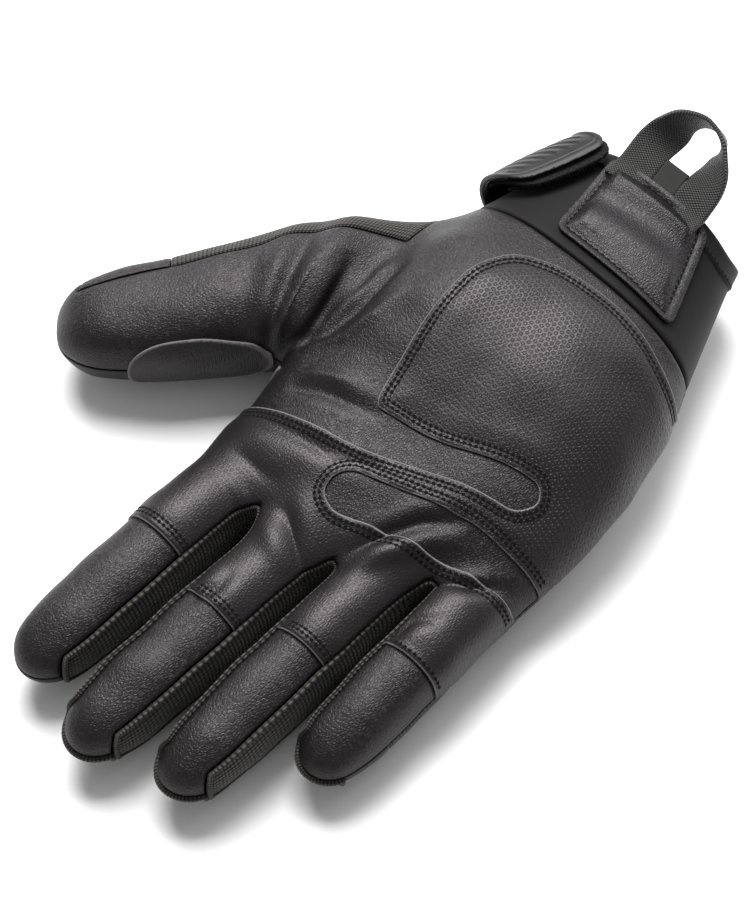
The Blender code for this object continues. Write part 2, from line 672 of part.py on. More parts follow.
def closure(whole, glove, cutters):
    """The tab wraps from the back of the cuff over its thumb side, with hooks under its free end and a
    pad of pile on the cuff."""
    frame = tab_frame()
    back = frame.inverted()

    def outline(name, width, margin):
        left, right = margin - TAB_LENGTH, -margin
        low, high = TAB_OVER - width, TAB_OVER - margin
        corners = [(left, low), (right, low), (right, high), (left, high + TAB_SLANT)]
        return outline_prism(name, rounded(corners, TAB_CORNER, 2), 0, OUTLINE_TOP, frame, cutters)

    pile_lift = LAYER_GAP - CUFF_SUNK
    hook_room = HOOK + LAYER_GAP
    under_tab = pile_lift + PILE + hook_room

    def tab_height(spot):
        """Height over the cuff: none where the tab is sewn down, most at its bend, less at its free edge."""
        along, around, _ = back @ spot
        edge = TAB_OVER - TAB_SLANT * along / TAB_LENGTH
        share = max(0.0, 1 - (edge - around) / TAB_WIDTH)
        rise = max(0.0, min(1.0, (share - TAB_SEWN) / (TAB_BEND - TAB_SEWN)))
        past = max(0.0, (share - TAB_BEND) / (1 - TAB_BEND))
        return mix((TAB_BULGE + under_tab) * math.sin(math.pi / 2 * rise), TAB_STANDS_OFF + under_tab,
                   past * past)

    layer(whole, "pile_pad", {CUFF}, pile_lift, PILE, "pile",
          outline("pile_outline", HOOK_WIDTH, PAD_MARGIN), glove)
    layer(whole, "hook_pad", {CUFF, HEM}, LAYER_GAP - hook_room, HOOK, "pile",
          outline("hook_outline", HOOK_WIDTH, PAD_MARGIN / 2), glove, tab_height)
    layer(whole, "closure_tab", {CUFF, HEM}, LAYER_GAP, TAB, "rubber",
          outline("tab_outline", TAB_WIDTH, 0), glove, tab_height)


def ribbon(name, centres, sides, width, thickness, finish, collection):
    """A flat band swept along these points, its width along sides."""
    band = bmesh.new()
    last = None
    for i, (centre, side) in enumerate(zip(centres, sides)):
        run = centres[min(i + 1, len(centres) - 1)] - centres[max(i - 1, 0)]
        across = (side - run * (side.dot(run) / run.length_squared)).normalized() * width / 2
        up = run.cross(across).normalized() * thickness / 2
        corners = [centre + across + up, centre - across + up, centre - across - up, centre + across - up]
        ring = [band.verts.new(corner) for corner in corners]
        if last is None:
            band.faces.new(ring)
        else:
            for k in range(4):
                band.faces.new((last[k], last[(k + 1) % 4], ring[(k + 1) % 4], ring[k]))
        last = ring
    band.faces.new(last)
    bmesh.ops.recalc_face_normals(band, faces=band.faces)
    return place(name, band, finish, collection)


def on_edge(share):
    """How far the pull loop has turned on edge at this share of its stretches, in radians."""
    near = min(share, 1 - share)
    turned = max(0.0, min(1.0, (near - LOOP_TWIST[0]) / (LOOP_TWIST[1] - LOOP_TWIST[0])))
    return turned * turned * (3 - 2 * turned) * math.pi / 2


def loop_path(start, out, face):
    """Centres and width directions of the pull loop: flat at its legs, on edge over its arch."""
    half, arch_half = LOOP_LEGS_APART / 2, LOOP_ARCH_WIDTH / 2
    x_axis = Vector((1, 0, 0))
    stretches = 2 * LEG_STEPS + ARCH_STEPS
    leg = []
    for step in range(LEG_STEPS):
        drawn = (1 - math.cos(on_edge(step / stretches))) / (1 - math.cos(on_edge(LEG_STEPS / stretches)))
        leg.append((mix(half, arch_half, drawn), LOOP_LEG * step / LEG_STEPS))
    angles = [math.pi * step / ARCH_STEPS for step in range(ARCH_STEPS + 1)]
    over = [(arch_half * math.cos(angle), LOOP_LEG + LOOP_ARCH * math.sin(angle)) for angle in angles]
    spots = [*leg, *over, *((-x, y) for x, y in reversed(leg))]
    centres = [start + x_axis * x + out * y for x, y in spots]
    sides = []
    for i in range(stretches + 1):
        angle = on_edge(i / stretches)
        angle = angle if i < stretches / 2 else math.pi - angle
        sides.append(x_axis * math.cos(angle) + face * math.sin(angle))
    return centres, sides


def pull_loop(whole, glove):
    """Webbing that leaves the patch's rim edge, and a short label between its legs."""
    tree = BVHTree.FromBMesh(whole)
    rise = math.radians(LOOP_RISE)
    out = Vector((0, -math.cos(rise), math.sin(rise)))
    face = Vector((0, math.sin(rise), math.cos(rise)))
    start_y = -WRIST_BEHIND - PATCH_FROM_SEAM - PATCH_LENGTH - LAYER_GAP - WEBBING
    half = LOOP_LEGS_APART / 2
    edge = half + WEBBING_WIDTH / 2
    hem_y = -WRIST_BEHIND - CUFF_LENGTH * HEM_MIDDLE
    top = max(
        tree.ray_cast(Vector((PATCH_RIM_SHIFT + x, hem_y, 1)), Vector((0, 0, -1)))[0].z
        for x in (-edge, -half, 0, half, edge)
    )
    start = Vector((PATCH_RIM_SHIFT, start_y, top + LOOP_LIFT))
    centres, sides = loop_path(start, out, face)
    ribbon("pull_loop", centres, sides, WEBBING_WIDTH, WEBBING, "webbing", glove)
    label = [start + out * LABEL_LENGTH * step for step in (0, 1)]
    ribbon("loop_label", label, [Vector((1, 0, 0))] * 2, LABEL_WIDTH, LABEL, "webbing", glove)


def build():
    clear_scene()
    glove = bpy.data.collections.new("glove")
    cutters = bpy.data.collections.new("cutters")
    bpy.context.scene.collection.children.link(glove)
    bpy.context.scene.collection.children.link(cutters)
    whole = smooth_hand()
    panel(whole, "palm_leather", {PALM}, LEATHER, "leather", glove)
    for name, number in TIP.items():
        panel(whole, name + "_tip_leather", {number}, LEATHER, "leather", glove)
    panel(whole, "back_knit", {BACK}, KNIT, "knit", glove)
    for name, number in BETWEEN.items():
        panel(whole, "fourchette_" + name, {number}, KNIT, "knit", glove)
    for name, number in NAIL.items():
        panel(whole, name + "_nail_leather", {number}, LEATHER, "leather", glove)
    panel(whole, "cuff", {CUFF}, NEOPRENE, "neoprene", glove, sink=CUFF_SUNK)
    panel(whole, "cuff_hem", {HEM}, NEOPRENE, "neoprene", glove)
    palm_overlay(whole, glove, cutters)
    thumb_patch(whole, glove, cutters)
    wrist_patch(whole, glove, cutters)
    closure(whole, glove, cutters)
    pull_loop(whole, glove)
    whole.free()


build()
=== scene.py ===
# %% [markdown]
# # A right-hand work glove, lying palm up
# The glove is black: smooth leather on the palm, a textured leather overlay sewn on top of it, ribbed knit
# between the fingers and on the back, and a short soft cuff with a closure tab, a leather patch and a
# webbing pull loop. The CAD model gives the frame: every piece made here is in metres, in the same place.

# %% Load the frame
import math

import bmesh
import bpy
import numpy as np
from mathutils import Matrix, Vector
from mathutils.bvhtree import BVHTree
from mathutils.kdtree import KDTree


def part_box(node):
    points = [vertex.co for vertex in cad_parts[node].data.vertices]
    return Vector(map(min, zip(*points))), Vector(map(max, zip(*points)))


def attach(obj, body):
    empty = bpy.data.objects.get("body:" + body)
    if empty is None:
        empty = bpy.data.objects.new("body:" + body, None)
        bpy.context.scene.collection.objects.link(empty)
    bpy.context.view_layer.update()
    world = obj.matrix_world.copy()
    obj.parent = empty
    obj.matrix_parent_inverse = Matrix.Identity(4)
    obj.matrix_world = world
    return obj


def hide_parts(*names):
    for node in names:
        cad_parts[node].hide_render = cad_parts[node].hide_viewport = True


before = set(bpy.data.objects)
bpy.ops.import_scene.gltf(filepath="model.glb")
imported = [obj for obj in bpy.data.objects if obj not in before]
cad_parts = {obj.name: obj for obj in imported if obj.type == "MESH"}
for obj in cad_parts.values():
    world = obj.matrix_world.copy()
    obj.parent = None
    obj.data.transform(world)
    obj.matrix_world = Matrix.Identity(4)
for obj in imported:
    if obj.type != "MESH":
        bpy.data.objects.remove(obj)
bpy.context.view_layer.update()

MM = 0.001

# %% [markdown]
# ## Sizes of the hand and cuff
# A glove is a tube that branches, so its plan is given as shares of the palm: how far across it, and how
# far along it from the wrist seam. The same lines and sections as in the CAD make the shape here, only
# smoother.

# %% Sizes and sections
PALM_LENGTH, PALM_WIDTH = 0.1115, 0.0985
WRIST_BEHIND, ULNAR_EDGE = 0.0755, 0.0615
PALM_HEIGHT, FINGER_HEIGHT = 0.0430, 0.0270
THUMB_LENGTH, THUMB_WIDTH, THUMB_HEIGHT = 0.0880, 0.0330, 0.0310
CUFF_LENGTH, CUFF_BACK_LONGER, CUFF_WIDTH, CUFF_SHIFT = 0.0400, 0.0060, 0.0580, -0.0015

PALM, PROXIMAL, DISTAL, BACK, CUFF, HEM = range(6)
BETWEEN = {"index_middle": 6, "middle_ring": 7, "ring_little": 8}
NAIL = {"thumb": 9, "index": 10, "middle": 11, "ring": 12, "little": 13}
PANELS = 14

LINES = [  # across, along
    (0.000, 0.690), (0.113, 0.765), (0.234, 0.838), (0.340, 0.918), (0.455, 0.975), (0.588, 1.000),
    (0.720, 0.990), (0.858, 0.965), (1.000, 0.915),
]
PALM_ROWS = [  # along, ulnar, radial, crown, waist, under
    (0.000, 0.130, 1.010, 1.000, 0.500, 0.100),
    (0.090, 0.095, 1.060, 1.050, 0.490, 0.040),
    (0.210, 0.065, 1.055, 1.070, 0.475, -0.015),
    (0.370, 0.035, 1.045, 1.030, 0.450, -0.040),
    (0.530, 0.010, 1.045, 0.940, 0.415, -0.045),
    (0.690, 0.000, 1.045, 0.870, 0.390, -0.045),
    (0.840, -0.005, 1.035, 0.790, 0.360, -0.040),
    (1.000, -0.005, 1.005, 0.680, 0.330, 0.010),
]
THUMB_FIRST_ROW, THUMB_LAST_ROW = 1, 5
SWELLS = [  # across, along, radius, rise
    (0.800, 0.330, 0.260, 0.110),
    (0.250, 0.330, 0.220, 0.040),
    (0.540, 0.560, 0.200, -0.100),
    (0.234, 0.850, 0.070, -0.130),
    (0.455, 0.960, 0.070, -0.130),
    (0.720, 0.970, 0.070, -0.130),
]
CUFF_ROWS = [  # along, width, shift, crown, waist, under
    (1.00, 1.000, 1.00, 0.960, 0.560, 0.170),
    (0.87, 1.065, 1.00, 0.950, 0.550, 0.160),
    (0.50, 1.290, 1.30, 0.940, 0.520, 0.130),
]
FINGERS = {  # line, tip across, tip along, root width, tip width, crown at tip, seam
    "little": (0, 0.080, 1.412, 0.240, 0.226, 0.86, 0.435),
    "ring": (2, 0.313, 1.685, 0.260, 0.242, 0.90, 0.355),
    "middle": (4, 0.578, 1.770, 0.266, 0.250, 0.92, 0.365),
    "index": (6, 0.850, 1.717, 0.268, 0.256, 0.94, 0.345),
}
FINGER_ROWS = [  # along, width, crown, under
    (0.090, 0.890, 1.030, 0.040),
    (0.380, 1.000, 1.070, 0.060),
    (0.660, 1.000, 1.040, 0.090),
    (0.905, 0.880, 0.920, 0.150),
]
FINGER_CAP = (1.020, 0.520)    # along, height
FINGER_WAIST = 0.48
SEAM_ROW, NAIL_ROW = 1, 2      # the row at the cross seam, and the last one before the nail leather
THUMB_ROOT = (1.045, 0.365)    # across, along the palm
THUMB_LINE = (0.5604, 0.6000)  # how far across and along the palm the thumb runs to its tip
THUMB_ROWS = [  # outer along, outer out, inner along, inner out, crown, waist, under
    (-0.150, -0.700, 0.285, 0.570, 1.230, 0.600, 0.050),
    (-0.040, -0.770, 0.298, 0.555, 1.330, 0.590, 0.050),
    (0.065, -0.800, 0.318, 0.545, 1.110, 0.580, 0.060),
    (0.165, -0.780, 0.350, 0.535, 1.260, 0.570, 0.060),
    (0.280, -0.720, 0.400, 0.530, 1.080, 0.560, 0.080),
    (0.420, -0.640, 0.490, 0.530, 1.150, 0.540, 0.110),
    (0.600, -0.570, 0.620, 0.535, 1.030, 0.530, 0.140),
    (0.780, -0.520, 0.785, 0.520, 0.990, 0.530, 0.160),
    (0.925, -0.420, 0.925, 0.410, 0.900, 0.530, 0.210),
]
THUMB_CAP = (1.030, 0.340, 0.520)  # along, half width of its row of points, height
THUMB_NAIL_ROW = 6             # the nail leather starts past this row
THUMB_FROM = -0.35             # where the thumb's weave map starts, in thumb lengths
PALM_CORNER = 0.93             # the edge lines stand this far out on a palm or cuff section
FINGER_COLUMNS = (-0.80, 0.00, 0.80)
THUMB_COLUMNS = (-0.88, -0.56, -0.03, 0.46, 0.88)
SIDE_DROP = 0.70               # height of a finger's outer columns between its waist and its crown
PALM_ARCH, CUFF_ARCH, FINGER_ARCH = 3.0, 2.3, 2.2  # exponents of the arch over a section: more is flatter


def mix(a, b, share):
    return a + (b - a) * share


def new_object(name, data):
    made = bpy.data.objects.new(name, data)
    bpy.context.scene.collection.objects.link(made)
    return made


def clamped(value):
    return max(0.0, min(1.0, value))


def eased(share):
    """A share from 0 to 1, with a soft start and end."""
    return share * share * (3 - 2 * share)


def plan(across, along):
    """The place on the floor plan that is these shares across and along the palm."""
    return Vector((across * PALM_WIDTH - ULNAR_EDGE, along * PALM_LENGTH - WRIST_BEHIND))


# %% [markdown]
# ## The hand as a coarse cage
# Subdivision Surface turns a coarse cage of four-sided faces into a smooth skin. Each face of the cage
# keeps the number of its panel as its material index, and a UV map named weave that runs round and along
# every tube, so that knit ribs can follow the fingers later.

# %% The cage
COLUMN_STEP = 0.0096          # a cage column's width on the weave map


def arch(across, flatness):
    return math.sqrt(max(0.0, 1 - abs(across) ** flatness))


def swell(x, y):
    total = 0.0
    for across, along, radius, rise in SWELLS:
        away = (Vector((x, y)) - plan(across, along)).length / (radius * PALM_WIDTH)
        total += rise * PALM_HEIGHT * math.exp(-away * away)
    return total


def palm_section(row):
    """Top points, under points and the two waist points of one section of the palm."""
    along, ulnar, radial, crown, waist, under = PALM_ROWS[row]
    left, right = plan(ulnar, 0).x, plan(radial, 0).x
    top, bottom = [], []
    for line, (across, reach) in enumerate(LINES):
        share = mix(line / (len(LINES) - 1), across, along)
        side = max(-PALM_CORNER, min(PALM_CORNER, 2 * share - 1))
        x, y = mix(left, right, (side + 1) / 2), plan(0, reach * along).y
        rise = arch(side, PALM_ARCH)
        top.append(Vector((x, y, PALM_HEIGHT * mix(waist, crown, rise) + swell(x, y))))
        bottom.append(Vector((x, y, PALM_HEIGHT * mix(waist, under, rise))))
    edges = [Vector((x, spot.y, PALM_HEIGHT * waist)) for x, spot in ((left, top[0]), (right, top[-1]))]
    return top, bottom, edges


def cuff_section(row):
    """The same points for a section of the cuff. The back reaches further than the palm side."""
    along, width, shift, crown, waist, under = CUFF_ROWS[row]
    half, centre = width * CUFF_WIDTH / 2, shift * CUFF_SHIFT
    near, far = along * CUFF_LENGTH, along * (CUFF_LENGTH + CUFF_BACK_LONGER)
    top, bottom = [], []
    for line in range(len(LINES)):
        side = max(-PALM_CORNER, min(PALM_CORNER, 2 * line / (len(LINES) - 1) - 1))
        x, rise = centre + side * half, arch(side, CUFF_ARCH)
        top.append(Vector((x, -WRIST_BEHIND - near, PALM_HEIGHT * mix(waist, crown, rise))))
        bottom.append(Vector((x, -WRIST_BEHIND - far, PALM_HEIGHT * mix(waist, under, rise))))
    middle = (near + far) / 2
    edges = [Vector((centre + side * half, -WRIST_BEHIND - middle, PALM_HEIGHT * waist)) for side in (-1, 1)]
    return top, bottom, edges


class Cage:
    """The coarse mesh of the hand, whose faces carry the numbers of their panels."""

    def __init__(self):
        self.mesh = bmesh.new()
        self.weave = self.mesh.loops.layers.uv.new("weave")

    def points(self, places):
        return [self.mesh.verts.new(place) for place in places]

    def face(self, corners, panel, column, near, far):
        made = self.mesh.faces.new(corners)
        made.material_index = panel
        spots = ((column, near), (column + 1, near), (column + 1, far), (column, far))
        for loop, (u, v) in zip(made.loops, spots):
            loop[self.weave].uv = (u * COLUMN_STEP, v)

    def strip(self, first, second, panels, near, far):
        """Faces between two rows of points, one panel number for each."""
        for i, panel in enumerate(panels):
            if panel is not None:
                self.face((first[i], first[i + 1], second[i + 1], second[i]), panel, i, near, far)


def ring(top, bottom, left, right):
    """A section's points in one row, from the left waist over the top and back under the bottom."""
    return [left, *top, right, *reversed(bottom), left]


def tube_points(cage, outer, inner, heights, columns):
    crown, waist, under = heights
    top, bottom = [], []
    for column in columns:
        spot = outer.lerp(inner, (column + 1) / 2)
        edge = min(1.0, abs(column) / max(columns))
        rise = math.sqrt(1 - (1 - SIDE_DROP * SIDE_DROP) * edge ** FINGER_ARCH)
        top.append(Vector((spot.x, spot.y, mix(waist, crown, rise))))
        bottom.append(Vector((spot.x, spot.y, mix(waist, under, rise))))
    edges = [Vector((spot.x, spot.y, waist)) for spot in (outer, inner)]
    return cage.points(top), cage.points(bottom), cage.points(edges)


def close_tip(cage, top, bottom, edges, middle_places, upper_panel, lower_panel, near, far):
    middle = [edges[0], *cage.points(middle_places), edges[1]]
    for i in range(len(top) - 1):
        cage.face((top[i], top[i + 1], middle[i + 1], middle[i]), upper_panel, i + 1, near, far)
        cage.face((bottom[i + 1], bottom[i], middle[i], middle[i + 1]), lower_panel, i + 1, near, far)


ULNAR_SIDE = {"ring": "ring_little", "middle": "middle_ring", "index": "index_middle"}
RADIAL_SIDE = {"little": "ring_little", "ring": "middle_ring", "middle": "index_middle"}


def finger_panels(name, row):
    """Panels round one stretch of a finger, from its little-finger side over the top and back under."""
    front = PROXIMAL if row <= SEAM_ROW else DISTAL
    behind = NAIL[name] if row > NAIL_ROW else BACK
    upper_left, lower_left = (BETWEEN[ULNAR_SIDE[name]],) * 2 if name in ULNAR_SIDE else (front, behind)
    upper_right, lower_right = (BETWEEN[RADIAL_SIDE[name]],) * 2 if name in RADIAL_SIDE else (front, behind)
    return [upper_left, front, front, upper_right, lower_right, behind, behind, lower_left]


finger_axes = {}


def add_finger(cage, name, root_top, root_bottom, root_edges):
    line, tip_across, tip_along, root_width, tip_width, tip_height, seam = FINGERS[name]
    root = (root_edges[0].co.xy + root_edges[1].co.xy) / 2
    run = plan(tip_across, tip_along) - root
    side = Vector((run.y, -run.x)).normalized()
    finger_axes[name] = (root, run, side, seam)
    last, near = (root_top, root_bottom, root_edges), PALM_LENGTH
    for row, (along, width, crown, under) in enumerate(FINGER_ROWS):
        along = seam if row == SEAM_ROW else along
        half = side * width * mix(root_width, tip_width, along) * PALM_WIDTH / 2
        centre = root + run * along
        crown *= mix(1.0, tip_height, along)
        heights = [FINGER_HEIGHT * share for share in (crown, mix(under, crown, FINGER_WAIST), under)]
        made = tube_points(cage, centre - half, centre + half, heights, FINGER_COLUMNS)
        far = PALM_LENGTH + run.length * along
        first, second = ring(last[0], last[1], *last[2]), ring(made[0], made[1], *made[2])
        cage.strip(first, second, finger_panels(name, row), near, far)
        last, near = made, far
    along, height = FINGER_CAP
    spot = root + run * along
    cover = BETWEEN.get(RADIAL_SIDE.get(name), NAIL[name])
    close_tip(cage, *last, [Vector((spot.x, spot.y, FINGER_HEIGHT * height))], DISTAL, cover, near,
              PALM_LENGTH + run.length * along)


thumb_root = plan(*THUMB_ROOT)
thumb_axis = (plan(THUMB_ROOT[0] + THUMB_LINE[0], THUMB_ROOT[1] + THUMB_LINE[1]) - thumb_root).normalized()
thumb_square = Vector((-thumb_axis.y, thumb_axis.x))


def thumb_place(along, out):
    return thumb_root + thumb_axis * along * THUMB_LENGTH + thumb_square * out * THUMB_WIDTH


def add_thumb(cage, root_top, root_bottom, root_edges):
    columns = len(THUMB_COLUMNS) - 1
    last, near = (root_top, root_bottom, root_edges), THUMB_FROM * THUMB_LENGTH
    for row, (outer_along, outer_out, inner_along, inner_out, crown, waist, under) in enumerate(THUMB_ROWS):
        outer, inner = thumb_place(outer_along, outer_out), thumb_place(inner_along, inner_out)
        heights = [THUMB_HEIGHT * share for share in (crown, waist, under)]
        made = tube_points(cage, outer, inner, heights, THUMB_COLUMNS)
        behind = NAIL["thumb"] if row > THUMB_NAIL_ROW else BACK
        panels = [behind, behind, *[PALM] * columns, *[behind] * (columns + 2)]
        far = outer_along * THUMB_LENGTH
        cage.strip(ring(last[0], last[1], *last[2]), ring(made[0], made[1], *made[2]), panels, near, far)
        last, near = made, far
    along, half, height = THUMB_CAP
    spots = [thumb_place(along, column / max(THUMB_COLUMNS) * half) for column in THUMB_COLUMNS[1:-1]]
    middle = [Vector((spot.x, spot.y, THUMB_HEIGHT * height)) for spot in spots]
    close_tip(cage, *last, middle, PALM, NAIL["thumb"], near, along * THUMB_LENGTH)


def hand_cage():
    cage = Cage()
    sections = [cuff_section(row) for row in range(len(CUFF_ROWS))]
    palm_start = len(sections)
    sections += [palm_section(row) for row in range(len(PALM_ROWS))]
    rows = [[cage.points(places) for places in section[:2]] for section in sections]
    thumb_rows = range(palm_start + THUMB_FIRST_ROW + 1, palm_start + THUMB_LAST_ROW)
    edges = []
    for number, section in enumerate(sections):
        left, right = section[2]
        right_point = None if number in thumb_rows else cage.points([right])[0]
        edges.append((cage.points([left])[0], right_point))
    count = len(LINES) - 1
    for number in range(len(sections) - 1):
        hem, cuff = number == 0, number < palm_start
        front = HEM if hem else CUFF if cuff else PALM
        behind = front if cuff else BACK
        thumb = palm_start + THUMB_FIRST_ROW <= number < palm_start + THUMB_LAST_ROW
        upper_right, lower_right = (None, None) if thumb else (front, behind)
        if number == palm_start:
            upper_right = behind
        panels = [front, *[front] * count, upper_right, lower_right, *[behind] * count, behind]
        near, far = (sections[n][0][4].y + WRIST_BEHIND for n in (number, number + 1))
        cage.strip(ring(*rows[number], *edges[number]), ring(*rows[number + 1], *edges[number + 1]), panels,
                   near, far)
    thumb_range = range(palm_start + THUMB_FIRST_ROW, palm_start + THUMB_LAST_ROW + 1)
    add_thumb(cage, [rows[n][0][-1] for n in thumb_range], [rows[n][1][-1] for n in thumb_range],
              [edges[n][1] for n in (thumb_range[0], thumb_range[-1])])
    top, bottom = rows[-1]
    between = {line: cage.points([(top[line].co + bottom[line].co) / 2])[0] for line in (2, 4, 6)}
    between[0], between[8] = edges[-1]
    for name, (line, *_) in FINGERS.items():
        add_finger(cage, name, top[line:line + 3], bottom[line:line + 3], (between[line], between[line + 2]))
    bmesh.ops.recalc_face_normals(cage.mesh, faces=cage.mesh.faces)
    return cage.mesh


# %% [markdown]
# ## The smooth skin, its folds and its flat back
# Leather that has been worn and laid down keeps soft folds. Each fold here is a line on the floor plan
# with a width and a depth, and it is pressed into the skin along the skin's own outward direction, with a
# low lip on both sides. A fold of negative depth is a ridge. The back of the glove rests flat on the
# floor.

# %% Folds
FOLDS = [  # width, depth, points in millimetres on the floor plan
    (1.9, 1.7, [(42, -4), (39, -11), (40, -19), (43, -29), (46, -38)]),
    (2.0, 1.7, [(40, -5), (35, -15), (33, -26), (33, -36), (32, -46)]),
    (1.7, -0.9, [(40, -10), (42, -20), (44, -28), (46, -36)]),
    (1.7, -0.9, [(37, -9), (35, -21), (35, -33), (37, -44)]),
    (2.0, -1.0, [(36, -7), (28, -16), (25, -26), (25, -38)]),
    (1.8, 0.8, [(43, -5), (44, -10), (47, -18), (50, -29)]),
    (2.2, 1.1, [(31, 5), (21, 1), (11, -1), (0, -4)]),
    (2.0, -0.7, [(31, 0), (20, -4), (12, -6)]),
    (2.1, 1.2, [(4, 31), (-4, 36), (-9, 39), (-15, 42)]),
    (2.8, -0.6, [(9, 35), (-1, 41), (-10, 46)]),
    (2.0, 1.4, [(-18, 31), (-23, 21), (-28, 11), (-38, 0)]),
    (2.2, -0.8, [(-24, 36), (-26, 24), (-33, 12), (-40, 5)]),
    (2.0, -0.8, [(-38, 20), (-45, 13), (-54, 5)]),
    (2.0, 1.0, [(-36, 20), (-49, 13), (-61, 0)]),
    (2.2, 0.7, [(28, 28), (16, 28), (7, 27)]),
    (2.4, 0.8, [(33, 18), (19, 16), (3, 13)]),
    (1.8, -0.5, [(23, 35), (16, 37), (11, 36)]),
    (2.0, 0.8, [(3, 71), (-2, 62), (-1, 54)]),
    (1.8, 0.7, [(-45, 40), (-46, 31), (-52, 25)]),
    (2.4, 0.7, [(16, 16), (4, 14), (-11, 7)]),
]
FOLD_FADE = 0.8                # less makes a fold end more bluntly
LIP_HEIGHT, LIP_AWAY, LIP_WIDTH = 0.35, 2.1, 1.3  # in depths and widths of the fold
SKIN_LEVEL = 4
SOFT_WAVES = 26
WAVE_LENGTHS = (9, 30)         # millimetres
WAVE_HEIGHT = 0.16 * MM        # of a wave 20 mm long
FOLDED = (-0.15, 0.35)         # the folds fade in between these upward slopes of the skin
WAVES_FROM = 4 * MM            # the waves fade in this far on either side of the wrist seam
FLOOR_BEND = 0.6 * MM          # the skin bends over this height to lie flat on the floor


def smoothstep(low, high, value):
    return eased(np.clip((value - low) / (high - low), 0, 1))


def along_path(points, path):
    """For each point its distance from a broken line, and where it lies along the line from 0 to 1."""
    path = np.array(path, float)
    starts, runs = path[:-1], np.diff(path, axis=0)
    lengths = np.linalg.norm(runs, axis=1)
    before = np.concatenate(([0], np.cumsum(lengths)))[:-1]
    best, where = np.full(len(points), 1e9), np.zeros(len(points))
    for start, run, length, passed in zip(starts, runs, lengths, before):
        share = np.clip(((points - start) @ run) / length ** 2, 0, 1)
        away = np.linalg.norm(points - start - share[:, None] * run, axis=1)
        nearer = away < best
        best[nearer] = away[nearer]
        where[nearer] = (passed + share * length)[nearer]
    return best, where / lengths.sum()


def fold_height(points):
    """How far the folds move the skin outwards at these points of the floor plan."""
    height = np.zeros(len(points))
    for width, depth, path in FOLDS:
        away, where = along_path(points / MM, path)
        fade = np.sin(np.pi * np.clip(where, 0, 1)) ** FOLD_FADE
        valley = np.exp(-(away / width) ** 2)
        lips = LIP_HEIGHT * np.exp(-((away - LIP_AWAY * width) / (LIP_WIDTH * width)) ** 2)
        height += depth * MM * fade * (lips - valley)
    return height


def soft_waves(points):
    """A slight unevenness, the sum of long waves in many directions."""
    draw = np.random.default_rng(7)
    height = np.zeros(len(points))
    for _ in range(SOFT_WAVES):
        direction = draw.normal(size=3)
        length = draw.uniform(*WAVE_LENGTHS) * MM
        wave = points @ (direction / np.linalg.norm(direction)) * 2 * math.pi / length
        height += np.sin(wave + draw.uniform(0, 2 * math.pi)) * (length / (20 * MM))
    return height * WAVE_HEIGHT / math.sqrt(SOFT_WAVES / 2)


def smooth_skin():
    """The whole glove as one smooth mesh, its panels numbered, with its outward directions kept."""
    mesh = bpy.data.meshes.new("skin")
    cage = hand_cage()
    cage.to_mesh(mesh)
    cage.free()
    for _ in range(PANELS):
        mesh.materials.append(None)
    carrier = new_object("skin", mesh)
    rounding = carrier.modifiers.new("rounding", "SUBSURF")
    rounding.levels = rounding.render_levels = SKIN_LEVEL
    bpy.context.view_layer.update()
    skin = bpy.data.meshes.new_from_object(carrier.evaluated_get(bpy.context.evaluated_depsgraph_get()))
    bpy.data.objects.remove(carrier)
    count = len(skin.vertices)
    places, outward = np.empty(count * 3), np.empty(count * 3)
    skin.vertices.foreach_get("co", places)
    skin.vertices.foreach_get("normal", outward)
    places, outward = places.reshape(-1, 3), outward.reshape(-1, 3)
    upward = smoothstep(*FOLDED, outward[:, 2])
    soft = smoothstep(-WRIST_BEHIND - WAVES_FROM, -WRIST_BEHIND + WAVES_FROM, places[:, 1])
    rise = upward * fold_height(places[:, :2]) + soft * soft_waves(places)
    places = places + outward * rise[:, None]
    z = places[:, 2]
    bent = np.where(z < -FLOOR_BEND, 0, (z + FLOOR_BEND) ** 2 / (4 * FLOOR_BEND))
    places[:, 2] = np.where(z > FLOOR_BEND, z, bent)
    skin.vertices.foreach_set("co", places.ravel())
    skin.update()
    skin.vertices.foreach_get("normal", outward.reshape(-1))
    kept = skin.attributes.new("outward", "FLOAT_VECTOR", "POINT")
    kept.data.foreach_set("vector", outward.ravel())
    return skin


skin = smooth_skin()
print("skin", len(skin.polygons), "faces")

# %% [markdown]
# ## Panels and how their edges turn into the seams
# A real glove is cut flat and sewn. Here each panel is taken off the smooth skin by its number. Where two
# panels meet, each turns down along a quarter round, so every seam is a soft groove and not a painted
# line. Solidify then gives the panel the thickness of its leather or cloth, inwards.

# %% Helpers for objects and panels
SHARPEST = 0.5                 # keeps draw_in from running away at a sharp corner


def sheet_of(panels):
    """The faces of these panels, as an open sheet."""
    sheet = bmesh.new()
    sheet.from_mesh(skin)
    keep_panels(sheet, panels)
    return sheet


def keep_panels(sheet, panels):
    other = [face for face in sheet.faces if face.material_index not in panels]
    bmesh.ops.delete(sheet, geom=other, context="FACES")


def border_tree(sheet):
    """A search tree of points along the open border of a sheet."""
    edges = [edge for edge in sheet.edges if edge.is_boundary]
    tree = KDTree(len(edges) * 2)
    for i, edge in enumerate(edges):
        tree.insert(edge.verts[0].co, i)
        tree.insert((edge.verts[0].co + edge.verts[1].co) / 2, i)
    tree.balance()
    return tree


def turn_down(sheet, width, depth):
    """Rolls the border of a sheet down into its seam."""
    outward = sheet.verts.layers.float_vector["outward"]
    tree = border_tree(sheet)
    moves = []
    for vert in sheet.verts:
        near, _, away = tree.find(vert.co)
        if away < width:
            share = 1 - away / width
            moves.append((vert, depth * (1 - math.sqrt(max(0.0, 1 - share * share)))))
    for vert, drop in moves:
        vert.co -= vert[outward] * drop


